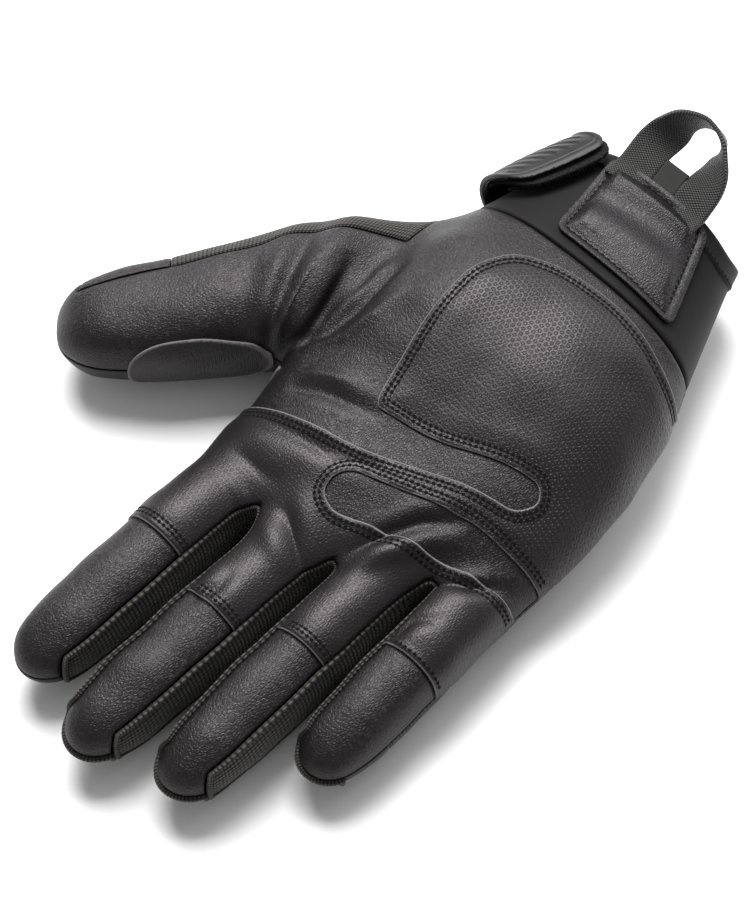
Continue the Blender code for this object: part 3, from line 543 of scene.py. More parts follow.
def draw_in(sheet, amount):
    """Moves the border of a sheet inwards along its surface, so that neighbours don't touch."""
    moves = {}
    for edge in sheet.edges:
        if edge.is_boundary:
            face = edge.link_faces[0]
            square = (edge.verts[1].co - edge.verts[0].co).cross(face.normal).normalized()
            if square.dot(face.calc_center_median() - edge.verts[0].co) < 0:
                square.negate()
            for vert in edge.verts:
                moves.setdefault(vert, []).append(square)
    for vert, found in moves.items():
        mean = sum(found, Vector()) / len(found)
        vert.co += mean.normalized() * amount / max(SHARPEST, mean.length)


def lift(sheet, height):
    """Moves a sheet outwards, by a number or by what a function says for each vertex."""
    outward = sheet.verts.layers.float_vector["outward"]
    for vert in sheet.verts:
        vert.co += vert[outward] * (height(vert) if callable(height) else height)


def make_piece(name, shape, finish, nodes=(), thickness=0.0):
    """Turns a bmesh into a piece of the glove that stands for these CAD nodes."""
    mesh = bpy.data.meshes.new(name)
    shape.normal_update()
    for face in shape.faces:
        face.material_index = 0
    shape.to_mesh(mesh)
    shape.free()
    mesh.materials.clear()
    mesh.materials.append(finish)
    mesh.shade_smooth()
    piece = new_object(name, mesh)
    if thickness:
        wall = piece.modifiers.new("wall", "SOLIDIFY")
        wall.thickness = thickness
        wall.offset = -1
    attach(piece, "root")
    if nodes:
        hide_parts(*nodes)
    print(name, len(mesh.polygons), "faces")
    return piece


# %% [markdown]
# ## Shader maths as Python
# A finish is a tree of nodes. The small class Link wraps one socket and overloads the arithmetic
# operators, so a pattern reads like a formula. Finish.node makes any other node from its type, its
# settings and its inputs.

# %% Links and finishes
def operator(operation, swapped=False):
    """A method that adds a Math node for two values."""
    def method(self, other):
        return self.finish.math(operation, *((other, self) if swapped else (self, other)))
    return method


class Link:
    """One output socket. Arithmetic on it adds Math nodes."""

    def __init__(self, finish, socket):
        self.finish, self.socket = finish, socket

    __add__ = __radd__ = operator("ADD")
    __mul__ = __rmul__ = operator("MULTIPLY")
    __sub__, __rsub__ = operator("SUBTRACT"), operator("SUBTRACT", swapped=True)
    __truediv__ = operator("DIVIDE")
    __pow__ = operator("POWER")


class Finish:
    """A material whose Principled shader is fed by expressions."""

    def __init__(self, name):
        self.material = bpy.data.materials.new(name)
        self.material.use_nodes = True
        self.tree = self.material.node_tree
        self.shader = self.tree.nodes["Principled BSDF"]

    def put(self, socket, value):
        if isinstance(value, Link):
            self.tree.links.new(value.socket, socket)
        elif value is not None:
            socket.default_value = value

    def node(self, kind, settings=None, inputs=None, output=0):
        made = self.tree.nodes.new(kind)
        for key, value in (settings or {}).items():
            setattr(made, key, value)
        for key, value in (inputs or {}).items():
            self.put(made.inputs[key], value)
        return Link(self, made.outputs[output])

    def math(self, operation, *values):
        return self.node("ShaderNodeMath", {"operation": operation}, dict(enumerate(values)))

    def between(self, value, low, high, out_low=0.0, out_high=1.0):
        """Value taken smoothly from one range to another."""
        return self.node("ShaderNodeMapRange", {"interpolation_type": "SMOOTHSTEP"},
                         {"Value": value, "From Min": low, "From Max": high,
                          "To Min": out_low, "To Max": out_high})

    def mixed(self, share, first, second):
        """A colour between two colours."""
        return self.node("ShaderNodeMix", {"data_type": "RGBA"}, {0: share, 6: first, 7: second}, 2)

    def noise(self, vector, scale, detail=2.0, roughness=0.5):
        return self.node("ShaderNodeTexNoise", None,
                         {"Vector": vector, "Scale": scale, "Detail": detail, "Roughness": roughness})

    def cells(self, vector, scale, feature="F1"):
        return self.node("ShaderNodeTexVoronoi", {"feature": feature}, {"Vector": vector, "Scale": scale})

    def place(self):
        return self.node("ShaderNodeTexCoord", output=3)

    def weave(self):
        """The two directions of the weave map, as numbers in metres."""
        return self.parts(self.node("ShaderNodeUVMap", {"uv_map": "weave"}))[:2]

    def parts(self, vector):
        split = self.node("ShaderNodeSeparateXYZ", None, {0: vector})
        return [Link(self, output) for output in split.socket.node.outputs]

    def done(self, colour, roughness, height=None, depth=0.0, **constants):
        """Feeds the shader. depth is the height in metres that a full step of height stands for."""
        self.put(self.shader.inputs["Base Color"], colour)
        self.put(self.shader.inputs["Roughness"], roughness)
        if height is not None:
            bump = self.node("ShaderNodeBump", None, {"Height": height, "Distance": depth, "Strength": 1.0})
            self.put(self.shader.inputs["Normal"], bump)
        for name, value in constants.items():
            self.shader.inputs[name.replace("_", " ")].default_value = value
        return self.material


# %% [markdown]
# ## Smooth leather
# Cowhide has a fine pebble grain: small raised cells under a millimetre across with creases between them,
# longer one way than the other because the skin is stretched. The crests are painted lighter and the
# creases darker, a painted highlight and painted shade; the crests are also a little smoother. A finer
# noise and a slow unevenness keep it from looking like a printed pattern.

# %% Leather finish
GRAIN = 0.62 * MM
SHINE = {"Specular_IOR_Level": 0.34, "Specular_Tint": (1.0, 0.93, 0.97, 1)}


def leather_grain(finish, place, size):
    """Height of the grain from 0 to 1. size is a cell's width in metres."""
    slow = {"Vector": place, "Scale": 0.22 / size, "Detail": 1.0}
    drift = finish.node("ShaderNodeTexNoise", None, slow, 1)
    centred = finish.node("ShaderNodeVectorMath", {"operation": "SUBTRACT"}, {0: drift, 1: (0.5, 0.5, 0.5)})
    moved = finish.node("ShaderNodeVectorMath", {"operation": "MULTIPLY_ADD"},
                        {0: centred, 1: (1.6 * size,) * 3, 2: place})
    lying = {"Vector": moved, "Rotation": (0, 0, math.radians(35)), "Scale": (1.0, 0.50, 1.0)}
    stretched = finish.node("ShaderNodeMapping", None, lying)
    creases = finish.cells(stretched, 1 / size, "DISTANCE_TO_EDGE")
    return finish.between(creases, 0.0, 0.32), stretched


def leather(name, dark, light, roughness, depth):
    finish = Finish(name)
    place = finish.place()
    grain, stretched = leather_grain(finish, place, GRAIN)
    fine = finish.noise(stretched, 2.6 / GRAIN, 3.0, 0.6)
    slow = finish.noise(place, 45, 3.0, 0.55)
    height = grain * 0.75 + fine * 0.45
    # the grain's height paints the crests lighter and the creases darker (painted highlight and painted
    # shade); the slow noise adds uneven tone
    crest_highlight_and_tone = finish.between(height, 0.35, 1.05) * finish.between(slow, 0.3, 0.7, 0.55, 1.0)
    colour = finish.mixed(crest_highlight_and_tone, dark, light)
    rough = roughness + 0.10 * (1 - grain) + 0.10 * (slow - 0.5)
    return finish.done(colour, rough, height, depth, **SHINE)


smooth_leather = leather("smooth leather", (0.0026, 0.0021, 0.0024, 1), (0.0110, 0.0096, 0.0105, 1), 0.38,
                         0.09 * MM)
patch_leather = leather("patch leather", (0.0024, 0.0021, 0.0025, 1), (0.0110, 0.0100, 0.0114, 1), 0.37,
                        0.08 * MM)

# %% [markdown]
# ## Textured leather
# The overlay is embossed with small rings in staggered rows, about 1.7 mm apart. They are deep on the heel
# and faint towards the fingers. The pattern lies on the floor plan, because the palm is nearly flat. The
# cut edge of the overlay is raw, so it is lighter and rougher: the mesh carries the distance from that
# edge as an attribute named rim, in millimetres.

# %% Textured leather finish
RING_PITCH, RING_ROW, RING_RADIUS = 1.72 * MM, 0.88, 0.25  # the last two in pitches
RAW_EDGE = (0.15, 0.14, 0.145, 1)


def ringed_leather(name, pitch, dark, light, roughness, ring_strength=1.0):
    finish = Finish(name)
    place = finish.place()
    turned = finish.node("ShaderNodeMapping", None, {"Vector": place, "Rotation": (0, 0, math.radians(6))})
    x, y, _ = finish.parts(turned)
    row = y / (pitch * RING_ROW)
    column = x / pitch + 0.5 * finish.math("FLOORED_MODULO", finish.math("FLOOR", row), 2.0)
    across = finish.math("FRACT", column) - 0.5
    along = (finish.math("FRACT", row) - 0.5) * RING_ROW
    away = finish.math("SQRT", across * across + along * along)
    ring_line = 1 - finish.between(finish.math("ABSOLUTE", away - RING_RADIUS), 0.03, 0.12)
    grain, stretched = leather_grain(finish, place, 0.8 * MM)
    fine = finish.noise(stretched, 3200, 2.0, 0.6)
    slow = finish.noise(place, 40, 3.0, 0.55)
    pressed = finish.between(finish.noise(place, 26, 1.0), 0.25, 0.55, 0.55, 1.0)
    heel = finish.between(finish.parts(place)[1], -10 * MM, 22 * MM, 1.0, 0.35)
    ring_height = 1 - ring_line * pressed * heel * ring_strength
    height = ring_height + grain * 0.35 + fine * 0.30
    # crest paints the raised leather lighter and the ring grooves darker: painted highlight and painted
    # shade
    crest = finish.between(height, 0.45, 1.50)
    rim = finish.node("ShaderNodeAttribute", {"attribute_name": "rim"}, None, 2)
    raw = 1 - finish.between(rim, 0.15, 0.45)
    # the surface colour is a painted highlight on the crests and painted shade in the grooves, with a slow
    # uneven tone
    surface = finish.mixed(crest * finish.between(slow, 0.3, 0.7, 0.6, 1.0), dark, light)
    colour = finish.mixed(raw * 0.9, surface, RAW_EDGE)
    rough = roughness + 0.08 * (1 - crest) + 0.12 * (slow - 0.5) + 0.3 * raw
    return finish.done(colour, rough, height, 0.10 * MM, **SHINE)


textured_leather = ringed_leather("textured leather", RING_PITCH, (0.0028, 0.0023, 0.0026, 1),
                                  (0.0135, 0.0120, 0.0130, 1), 0.38)
patch_texture = ringed_leather("thumb patch leather", 1.2 * MM, (0.006, 0.0055, 0.0058, 1),
                               (0.030, 0.028, 0.029, 1), 0.50, 0.8)

# %% [markdown]
# ## Knit, webbing, soft cuff and the rest
# The knit has rows of small raised loops: clear ribs across the finger and finer columns along it. The
# loops are painted lighter, a painted highlight, and the gaps between them nearly black, painted shade.
# The webbing is a dense slanting weave, its knots painted lighter and its gaps darker in the same way. Both
# read the weave map, so they follow the surface. The cuff is a soft foamed cloth with hardly any texture.
# The tab is moulded rubber.

# %% Cloth and rubber finishes
def knit(name, column, row):
    finish = Finish(name)
    u, v = finish.weave()
    place = finish.place()
    wobble = (finish.noise(place, 500, 1.0) - 0.5) * 0.35
    columns = finish.math("ABSOLUTE", finish.math("SINE", u * (math.pi / column) + wobble))
    rows = finish.math("ABSOLUTE", finish.math("SINE", v * (math.pi / row) + wobble))
    loops = rows ** 0.8 * (0.15 + 0.85 * columns ** 0.8)
    fibre = finish.noise(place, 5200, 2.0, 0.7)
    height = loops + fibre * 0.18
    # the raised loops are painted lighter and the gaps nearly black: painted highlight and painted shade
    light = finish.between(height, 0.30, 1.05)
    colour = finish.mixed(light, (0.0008, 0.0007, 0.0005, 1), (0.058, 0.053, 0.046, 1))
    return finish.done(colour, 0.74 - 0.20 * light, height, 0.50 * MM, Specular_IOR_Level=0.25,
                       Sheen_Weight=0.12, Sheen_Roughness=0.5)


fourchette_knit = knit("ribbed knit", 1.35 * MM, 1.25 * MM)
back_cloth = knit("back knit", 1.10 * MM, 1.30 * MM)
WEBBING_SLANT = 1.7


def webbing(name, pitch):
    finish = Finish(name)
    u, v = finish.weave()
    first = finish.math("SINE", (u + v * WEBBING_SLANT) * (math.pi / pitch))
    second = finish.math("SINE", (u - v * WEBBING_SLANT) * (math.pi / pitch))
    knots = finish.math("ABSOLUTE", first * second) ** 0.55
    fibre = finish.noise(finish.place(), 4200, 2.0, 0.7)
    height = knots + fibre * 0.15
    # the knots are painted lighter and the gaps darker: painted highlight and painted shade
    light = finish.between(height, 0.35, 1.05)
    colour = finish.mixed(light, (0.0010, 0.0010, 0.0010, 1), (0.055, 0.055, 0.053, 1))
    return finish.done(colour, 0.58 - 0.12 * light, height, 0.30 * MM, Specular_IOR_Level=0.30,
                       Sheen_Weight=0.10)


strap_weave = webbing("webbing", 1.35 * MM)
ribbon_weave = webbing("ribbon", 0.55 * MM)


def soft_cloth(name):
    finish = Finish(name)
    place = finish.place()
    jersey = finish.noise(place, 2600, 2.0, 0.6)
    slow = finish.noise(place, 70, 3.0, 0.5)
    colour = finish.mixed(finish.between(jersey * 0.6 + slow * 0.4, 0.3, 0.7), (0.0045, 0.0038, 0.0038, 1),
                          (0.0052, 0.0044, 0.0044, 1))
    return finish.done(colour, 0.62 + 0.12 * (slow - 0.5), jersey, 0.05 * MM, Specular_IOR_Level=0.12,
                       Sheen_Weight=0.06)


def moulded(name):
    finish = Finish(name)
    place = finish.place()
    skin_grain = finish.noise(place, 3000, 2.0, 0.5)
    slow = finish.noise(place, 120, 3.0, 0.5)
    colour = finish.mixed(finish.between(slow, 0.3, 0.7), (0.0085, 0.0080, 0.0085, 1),
                          (0.0145, 0.0140, 0.0145, 1))
    return finish.done(colour, 0.42 + 0.14 * (slow - 0.4), skin_grain, 0.03 * MM, Specular_IOR_Level=0.26)


def pile(name, tone):
    finish = Finish(name)
    place = finish.place()
    tufts = finish.cells(place, 1500)
    fibre = finish.noise(place, 3600, 3.0, 0.7)
    height = (1 - tufts) * 0.7 + fibre * 0.6
    colour = finish.mixed(finish.between(height, 0.5, 1.1), (0.002, 0.002, 0.002, 1), tone)
    return finish.done(colour, 0.9, height, 0.5 * MM, Specular_IOR_Level=0.3)


def thread(name, tone, roughness):
    finish = Finish(name)
    twist = finish.noise(finish.place(), 5000, 2.0, 0.6)
    colour = finish.mixed(twist, (*[value / 2 for value in tone[:3]], 1), tone)
    return finish.done(colour, roughness, twist, 0.05 * MM, Specular_IOR_Level=0.25)


cuff_cloth = soft_cloth("soft cuff cloth")
tab_rubber = moulded("moulded rubber")
pile_cloth = pile("pile", (0.020, 0.020, 0.019, 1))
sewing_thread = thread("sewing thread", (0.018, 0.016, 0.017, 1), 0.55)
# the needle holes are flat black discs: painted shade
needle_hole_shade = thread("needle hole", (0.0010, 0.0010, 0.0010, 1), 1.0)
print("finishes", len(bpy.data.materials))

# %% [markdown]
# ## Palm, fingers and back
# The leather of the palm runs up the front of every finger. The fingertips past the cross seams are made
# as pieces of their own, because the overlay hides the join and each mesh then stays light.

# %% Leather and knit panels
SEAM_TURN, SEAM_DEPTH, SEAM_GAP = 1.3 * MM, 0.6 * MM, 0.15 * MM
LEATHER_WALL, KNIT_WALL = 1.3 * MM, 1.2 * MM


def sewn_panel(name, panels, finish, nodes, thickness, turn=SEAM_TURN, depth=SEAM_DEPTH, kept=None):
    """A panel of leather or cloth. kept says which part of the turned sheet stays, if not all of it."""
    sheet = sheet_of(panels)
    draw_in(sheet, SEAM_GAP)
    turn_down(sheet, turn, depth)
    if kept:
        keep_panels(sheet, kept)
    return make_piece(name, sheet, finish, nodes, thickness)


FRONT = {PALM, PROXIMAL, DISTAL}
tip_nodes = [finger + "_tip_leather" for finger in FINGERS]
sewn_panel("palm_skin", FRONT, smooth_leather, ["palm_leather"], LEATHER_WALL,
           kept={PALM, PROXIMAL})
sewn_panel("fingertip_skin", FRONT, smooth_leather, tip_nodes, LEATHER_WALL, kept={DISTAL})
sewn_panel("back_cloth", {BACK}, back_cloth, ["back_knit"], KNIT_WALL, 1.0 * MM, 0.3 * MM)
for pair, number in BETWEEN.items():
    sewn_panel("finger_side_" + pair, {number}, fourchette_knit, ["fourchette_" + pair], KNIT_WALL,
               1.2 * MM, 0.5 * MM)
for digit, number in NAIL.items():
    sewn_panel(digit + "_cap", {number}, smooth_leather, [digit + "_nail_leather"], LEATHER_WALL,
               0.9 * MM, 0.3 * MM)

# %% [markdown]
# ## Cutting a layer out of a sheet
# The overlay, the patches and the tab are outlines drawn on a plane and cut out of the skin below them.
# Each vertex gets its distance from the outline, edges that cross it are split exactly there, and the
# faces outside are deleted. The distance stays on the mesh as the attribute rim, in millimetres, for the
# finish and for the shape of the edge.

# %% Outlines and cuts
FAR_OUT = -6                   # millimetres from the outline, where vertices go before the cutting
SNAP = 0.08                    # a vertex this near a cut, as a share of its edge, is moved onto the outline


def rounded(corners, radius, steps=6):
    """A closed outline with each corner replaced by a curve."""
    made, count = [], len(corners)
    for i, corner in enumerate(corners):
        corner = Vector(corner)
        before, after = Vector(corners[i - 1]), Vector(corners[(i + 1) % count])
        cut = min(radius, *((other - corner).length * 0.45 for other in (before, after)))
        start = corner + (before - corner).normalized() * cut
        end = corner + (after - corner).normalized() * cut
        for step in range(steps + 1):
            share = step / steps
            made.append(start.lerp(corner, share).lerp(corner.lerp(end, share), share))
    return made


def inside_distance(points, outline):
    """Distance of points from a closed outline, more than 0 inside it."""
    path = np.array([tuple(point) for point in outline] + [tuple(outline[0])])
    away, _ = along_path(points, path)
    inside = np.zeros(len(points), bool)
    for (ax, ay), (bx, by) in zip(path[:-1], path[1:]):
        crosses = (ay > points[:, 1]) != (by > points[:, 1])
        if ay != by:
            inside ^= crosses & (points[:, 0] < (bx - ax) * (points[:, 1] - ay) / (by - ay) + ax)
    return np.where(inside, away, -away)


def cut_sheet(sheet, outline, frame_back=None):
    """Cuts an outline out of a sheet. frame_back takes a place to the outline's own plane."""
    places = [frame_back @ vert.co if frame_back else vert.co for vert in sheet.verts]
    distance = inside_distance(np.array([(place.x, place.y) for place in places]), outline)
    if frame_back:
        distance = np.minimum(distance, [place.z for place in places])
    rim = sheet.verts.layers.float.new("rim")
    for vert, value in zip(sheet.verts, distance):
        vert[rim] = value / MM
    far = {vert for vert in sheet.verts if vert[rim] < FAR_OUT}
    gone = [vert for vert in sheet.verts
            if vert in far and all(edge.other_vert(vert) in far for edge in vert.link_edges)]
    for vert in gone:
        sheet.verts.remove(vert)
    for edge in list(sheet.edges):
        a, b = (vert[rim] for vert in edge.verts)
        if a * b < 0:
            share = a / (a - b)
            if share < SNAP:
                edge.verts[0][rim] = 0
            elif share > 1 - SNAP:
                edge.verts[1][rim] = 0
    for edge in list(sheet.edges):
        first, second = edge.verts
        a, b = first[rim], second[rim]
        if a * b < 0:
            _, made = bmesh.utils.edge_split(edge, first, a / (a - b))
            made[rim] = 0
    for face in list(sheet.faces):
        on_line = [vert for vert in face.verts if vert[rim] == 0]
        values = [vert[rim] for vert in face.verts]
        if len(on_line) == 2 and min(values) < 0 < max(values):
            bmesh.utils.face_split(face, on_line[0], on_line[1])
    outside = [face for face in sheet.faces if sum(vert[rim] for vert in face.verts) < 0]
    bmesh.ops.delete(sheet, geom=outside, context="FACES")
    loose = [vert for vert in sheet.verts if not vert.link_faces]
    bmesh.ops.delete(sheet, geom=loose, context="VERTS")


# %% [markdown]
# ## The palm overlay and the thumb patch
# The overlay is one S-shaped piece. It stands a leather's thickness proud, is pressed down where its two
# rows of stitches run, and swells a little inside them.

# %% Overlay and thumb patch
OVERLAY_OUTLINE = [  # across, along
    (-0.20, 0.070), (0.10, 0.070), (0.284, 0.030), (0.435, 0.022), (0.590, 0.040),
    (0.716, 0.096), (0.764, 0.208), (0.750, 0.369), (0.690, 0.600), (0.670, 0.632),
    (0.479, 0.602), (0.265, 0.522), (0.177, 0.505), (0.145, 0.540), (0.175, 0.595),
    (0.326, 0.633), (0.504, 0.701), (0.636, 0.749), (0.899, 0.788), (1.130, 0.820), (1.130, 1.400),
    (-0.200, 1.400), (-0.200, 0.730), (0.114, 0.760), (0.358, 0.834), (0.542, 0.897),
    (0.600, 0.880), (0.610, 0.830), (0.581, 0.791), (0.471, 0.758), (0.236, 0.682), (-0.200, 0.640),
]
THUMB_PATCH_OUTLINE = [  # along, out
    (0.270, 0.720), (0.280, 0.535), (0.375, 0.455), (0.510, 0.425), (0.645, 0.422), (0.725, 0.448),
    (0.785, 0.485), (0.810, 0.720),
]
OVERLAY_CORNER, THUMB_PATCH_CORNER = 0.0070, 0.0050
STITCH_ROWS = (1.55, 2.95)     # millimetres from the cut edge
overlay_outline = rounded([plan(*spot) for spot in OVERLAY_OUTLINE], OVERLAY_CORNER)


def overlay_height(rim):
    """Height of the overlay's top over the leather, in metres, by the distance from its cut edge."""
    pressed = sum(math.exp(-((rim - row) / 0.75) ** 2) for row in STITCH_ROWS)
    inner = clamped((rim - 3.2) / 5)
    edge = max(0.0, 1 - rim / 0.8)
    return (0.90 - 0.28 * edge * edge - 0.26 * pressed + 0.45 * eased(inner)) * MM


def make_overlay():
    """The overlay ends at the fingers' cross seams too, so its rim distance counts from those as well."""
    sheet = sheet_of(FRONT)
    draw_in(sheet, 0.10 * MM)
    turn_down(sheet, 1.2 * MM, 0.5 * MM)
    crossing = [edge.verts[0].co.copy() for edge in sheet.edges
                if {face.material_index for face in edge.link_faces} == {PROXIMAL, DISTAL}]
    keep_panels(sheet, {PALM, PROXIMAL})
    cut_sheet(sheet, overlay_outline)
    rim = sheet.verts.layers.float["rim"]
    tree = KDTree(len(crossing))
    for i, spot in enumerate(crossing):
        tree.insert(spot, i)
    tree.balance()
    for vert in sheet.verts:
        vert[rim] = min(vert[rim], tree.find(vert.co)[2] / MM)
    lift(sheet, lambda vert: overlay_height(vert[rim]))
    return sheet


overlay_sheet = make_overlay()
overlay_tree = BVHTree.FromBMesh(overlay_sheet)
make_piece("overlay", overlay_sheet, textured_leather, ["palm_overlay"], 0.85 * MM)

THUMB_PATCH_UNDER = 0.0065     # how low over the floor the patch ends under the thumb's side
thumb_frame = Matrix((
    (thumb_axis.x, -thumb_axis.y, 0, thumb_root.x),
    (thumb_axis.y, thumb_axis.x, 0, thumb_root.y),
    (0, 0, 1, THUMB_PATCH_UNDER),
    (0, 0, 0, 1),
))
thumb_sheet = sheet_of({PALM, BACK, NAIL["thumb"]})
thumb_patch_spots = [(along * THUMB_LENGTH, out * THUMB_WIDTH) for along, out in THUMB_PATCH_OUTLINE]
cut_sheet(thumb_sheet, rounded(thumb_patch_spots, THUMB_PATCH_CORNER), thumb_frame.inverted())
lift(thumb_sheet, 0.75 * MM)
make_piece("thumb_inner_patch", thumb_sheet, patch_texture, ["thumb_patch"], 0.85 * MM)

# %% [markdown]
# ## Stitches
# Every stitch is a short bead of thread between two needle holes, each a flat black disc of painted shade
# laid on the surface. A row starts as a line on the floor plan. It is dropped onto the surface with a ray,
# measured in space, and sewn at an even pitch, so stitches don't stretch on steep places.

# %% Sewing
STITCH_PITCH = 1.75 * MM
BEAD_LIFT, HOLE_LIFT, HOLE_SIZE = 0.05 * MM, 0.07 * MM, (0.62 * MM, 0.54 * MM, 1, 1)
ABOVE, STEEPEST = 0.2, 0.15    # where rays start, and the flattest normal that takes a stitch
NOWHERE = Vector((9.0, 9.0))   # a place of the floor plan with nothing over it
CROSS_SEAM = 13 * MM           # half the length of a finger's cross seam
sewn_threads, sewn_holes = bmesh.new(), bmesh.new()


def add_shape(total, part):
    """Joins one small mesh to a large one."""
    mesh = bpy.data.meshes.new("part")
    part.to_mesh(mesh)
    total.from_mesh(mesh)
    bpy.data.meshes.remove(mesh)
    part.free()


def sew(spots, normals, pitch=STITCH_PITCH, length=0.52, width=0.44, holes=True):
    """Sews along points in space. length is a bead's share of the pitch, width its own in millimetres."""
    lengths = [(b - a).length for a, b in zip(spots[:-1], spots[1:])]
    total = sum(lengths)
    count = int(total / pitch)
    if count < 2:
        return 0

    def spot_at(distance):
        for i, step in enumerate(lengths):
            if distance <= step or i == len(lengths) - 1:
                share = distance / max(step, 1e-9)
                up = normals[i].lerp(normals[i + 1], share).normalized()
                return spots[i].lerp(spots[i + 1], share), up
            distance -= step

    beads, dots = bmesh.new(), bmesh.new()
    for i in range(count):
        start, _ = spot_at(pitch * i)
        end, _ = spot_at(pitch * (i + 1))
        middle, up = spot_at(pitch * (i + 0.5))
        run = (end - start).normalized()
        side = up.cross(run).normalized()
        up = run.cross(side)
        turn = Matrix((run, side, up)).transposed().to_4x4()
        size = Matrix.Diagonal((pitch * length / 2, width * MM / 2, width * MM / 2.4, 1))
        bmesh.ops.create_uvsphere(beads, u_segments=8, v_segments=5, radius=1,
                                  matrix=Matrix.Translation(middle + up * BEAD_LIFT) @ turn @ size)
        # a needle hole is a flat black disc just over the surface, painted shade where the hole would be
        if holes:
            place = Matrix.Translation(start + up * HOLE_LIFT) @ turn @ Matrix.Diagonal(HOLE_SIZE)
            bmesh.ops.create_circle(dots, cap_ends=True, segments=8, radius=1, matrix=place)
    add_shape(sewn_threads, beads)
    add_shape(sewn_holes, dots)
    return count


def ray_down(tree, x, y):
    """The highest place and normal of a surface at a point of the floor plan."""
    return tree.ray_cast(Vector((x, y, ABOVE)), Vector((0, 0, -1)))[:2]


def drop(tree, flat_points):
    """Drops points of the floor plan onto a surface, in runs where the surface is below."""
    runs, spots, normals = [], [], []
    for point in flat_points:
        hit, normal = ray_down(tree, *point)
        if hit is None or normal.z < STEEPEST:
            if len(spots) > 3:
                runs.append((spots, normals))
            spots, normals = [], []
            continue
        spots.append(hit)
        normals.append(normal)
    if len(spots) > 3:
        runs.append((spots, normals))
    return runs


def resampled(points, step):
    points = [Vector(point) for point in points]
    made = [points[0]]
    for a, b in zip(points[:-1], points[1:]):
        count = max(1, int((b - a).length / step))
        made += [a.lerp(b, i / count) for i in range(1, count + 1)]
    return made


def inset_line(outline, distance):
    """The outline moved inwards by this much, without the places where it would cross itself."""
    dense = resampled([*outline, outline[0]], 0.5 * MM)
    moved = []
    for i in range(len(dense) - 1):
        run = dense[(i + 2) % (len(dense) - 1)] - dense[i - 2]
        moved.append(dense[i] + Vector((-run.y, run.x)).normalized() * distance)
    flat = np.array([tuple(point) for point in moved])
    depth = inside_distance(flat, outline)
    if np.median(depth) < 0:
        moved = [dense[i] * 2 - point for i, point in enumerate(moved)]
        depth = inside_distance(np.array([tuple(point) for point in moved]), outline)
    return [point if value > distance * 0.97 else NOWHERE for point, value in zip(moved, depth)]


stitches = 0
for row in STITCH_ROWS:
    for spots, normals in drop(overlay_tree, inset_line(overlay_outline, row * MM)):
        stitches += sew(spots, normals)
for root, run, side, seam in finger_axes.values():
    for row in STITCH_ROWS:
        centre = root + run * seam - run.normalized() * (row - 0.2) * MM
        line = resampled([centre - side * CROSS_SEAM, centre + side * CROSS_SEAM], 0.5 * MM)
        for spots, normals in drop(overlay_tree, line):
            stitches += sew(spots, normals)
print("stitches", stitches)

# %% [markdown]
# ## Ridges of the finger sides
# Where the knit between two fingers is sewn to the leather, its folded edge stands up as a thin ridge on
# both sides and runs round the crotch in a loop. Each ridge is a grid wrapped round the border of the
# panel.

# %% Ridges
SHORTEST_BORDER = 20           # vertices


def border_paths(sheet):
    """The open borders of a sheet, as ordered lists of vertices."""
    following = {}
    for edge in sheet.edges:
        if edge.is_boundary:
            for vert in edge.verts:
                following.setdefault(vert, []).append(edge.other_vert(vert))
    paths = []
    while following:
        start = next(iter(following))
        path, here, last = [start], start, None
        while True:
            onward = [vert for vert in following[here] if vert is not last and vert in following]
            last = here
            if not onward or (onward[0] is start):
                break
            here = onward[0]
            if here in path[:3]:
                break
            path.append(here)
        for vert in path:
            following.pop(vert, None)
        paths.append(path)
    return [path for path in paths if len(path) > SHORTEST_BORDER]


def mapped_grid(columns, rows, place, size):
    """A grid whose two directions are mapped into space by a function, with its weave map in metres."""
    sheet = bmesh.new()
    bmesh.ops.create_grid(sheet, x_segments=columns, y_segments=rows, size=1)
    shares = {vert: ((vert.co.x + 1) / 2, (vert.co.y + 1) / 2) for vert in sheet.verts}
    weave = sheet.loops.layers.uv.new("weave")
    for face in sheet.faces:
        for loop in face.loops:
            s, t = shares[loop.vert]
            loop[weave].uv = (t * size[1], s * size[0])
    for vert in sheet.verts:
        vert.co = place(*shares[vert])
    return sheet


def tube_along(spots, normals, radius, sides=8):
    """A round tube along a closed line of points in space."""
    spots, normals = spots + spots[:1], normals + normals[:1]
    count = len(spots) - 1
    length = sum((b - a).length for a, b in zip(spots[:-1], spots[1:]))

    def place(s, t):
        here = s * count
        i = min(count - 1, int(here + 1e-6))
        centre = spots[i].lerp(spots[i + 1], here - i)
        run = (spots[(i + 1) % count + 1] - spots[i]).normalized()
        up = normals[i].lerp(normals[i + 1], here - i)
        up = (up - run * up.dot(run)).normalized()
        angle = 2 * math.pi * t
        return centre + (up * math.cos(angle) + run.cross(up) * math.sin(angle)) * radius

    tube = mapped_grid(count, sides, place, (length, 2 * math.pi * radius))
    bmesh.ops.remove_doubles(tube, verts=tube.verts, dist=0.02 * MM)
    bmesh.ops.recalc_face_normals(tube, faces=tube.faces)
    return tube


def smoothed(spots, times):
    for _ in range(times):
        spots = [(spots[i - 1] + spots[i] * 2 + spots[(i + 1) % len(spots)]) / 4 for i in range(len(spots))]
    return spots


RIDGE, RIDGE_IN, RIDGE_LIFT = 0.78 * MM, 0.7 * MM, 0.30 * MM
ridges = bmesh.new()
for pair, number in BETWEEN.items():
    sheet = sheet_of({number})
    outward = sheet.verts.layers.float_vector["outward"]
    draw_in(sheet, RIDGE_IN)
    for path in border_paths(sheet):
        normals = smoothed([vert[outward].copy() for vert in path], 3)
        spots = smoothed([vert.co + vert[outward] * RIDGE_LIFT for vert in path], 3)
        add_shape(ridges, tube_along(spots, normals, RIDGE))
    sheet.free()
make_piece("finger_side_ridges", ridges, fourchette_knit)

# %% [markdown]
# ## The cuff
# The cuff is two layers of soft cloth with a foam core, so it is thick and its edges are round. A turned
# hem runs round the rim.

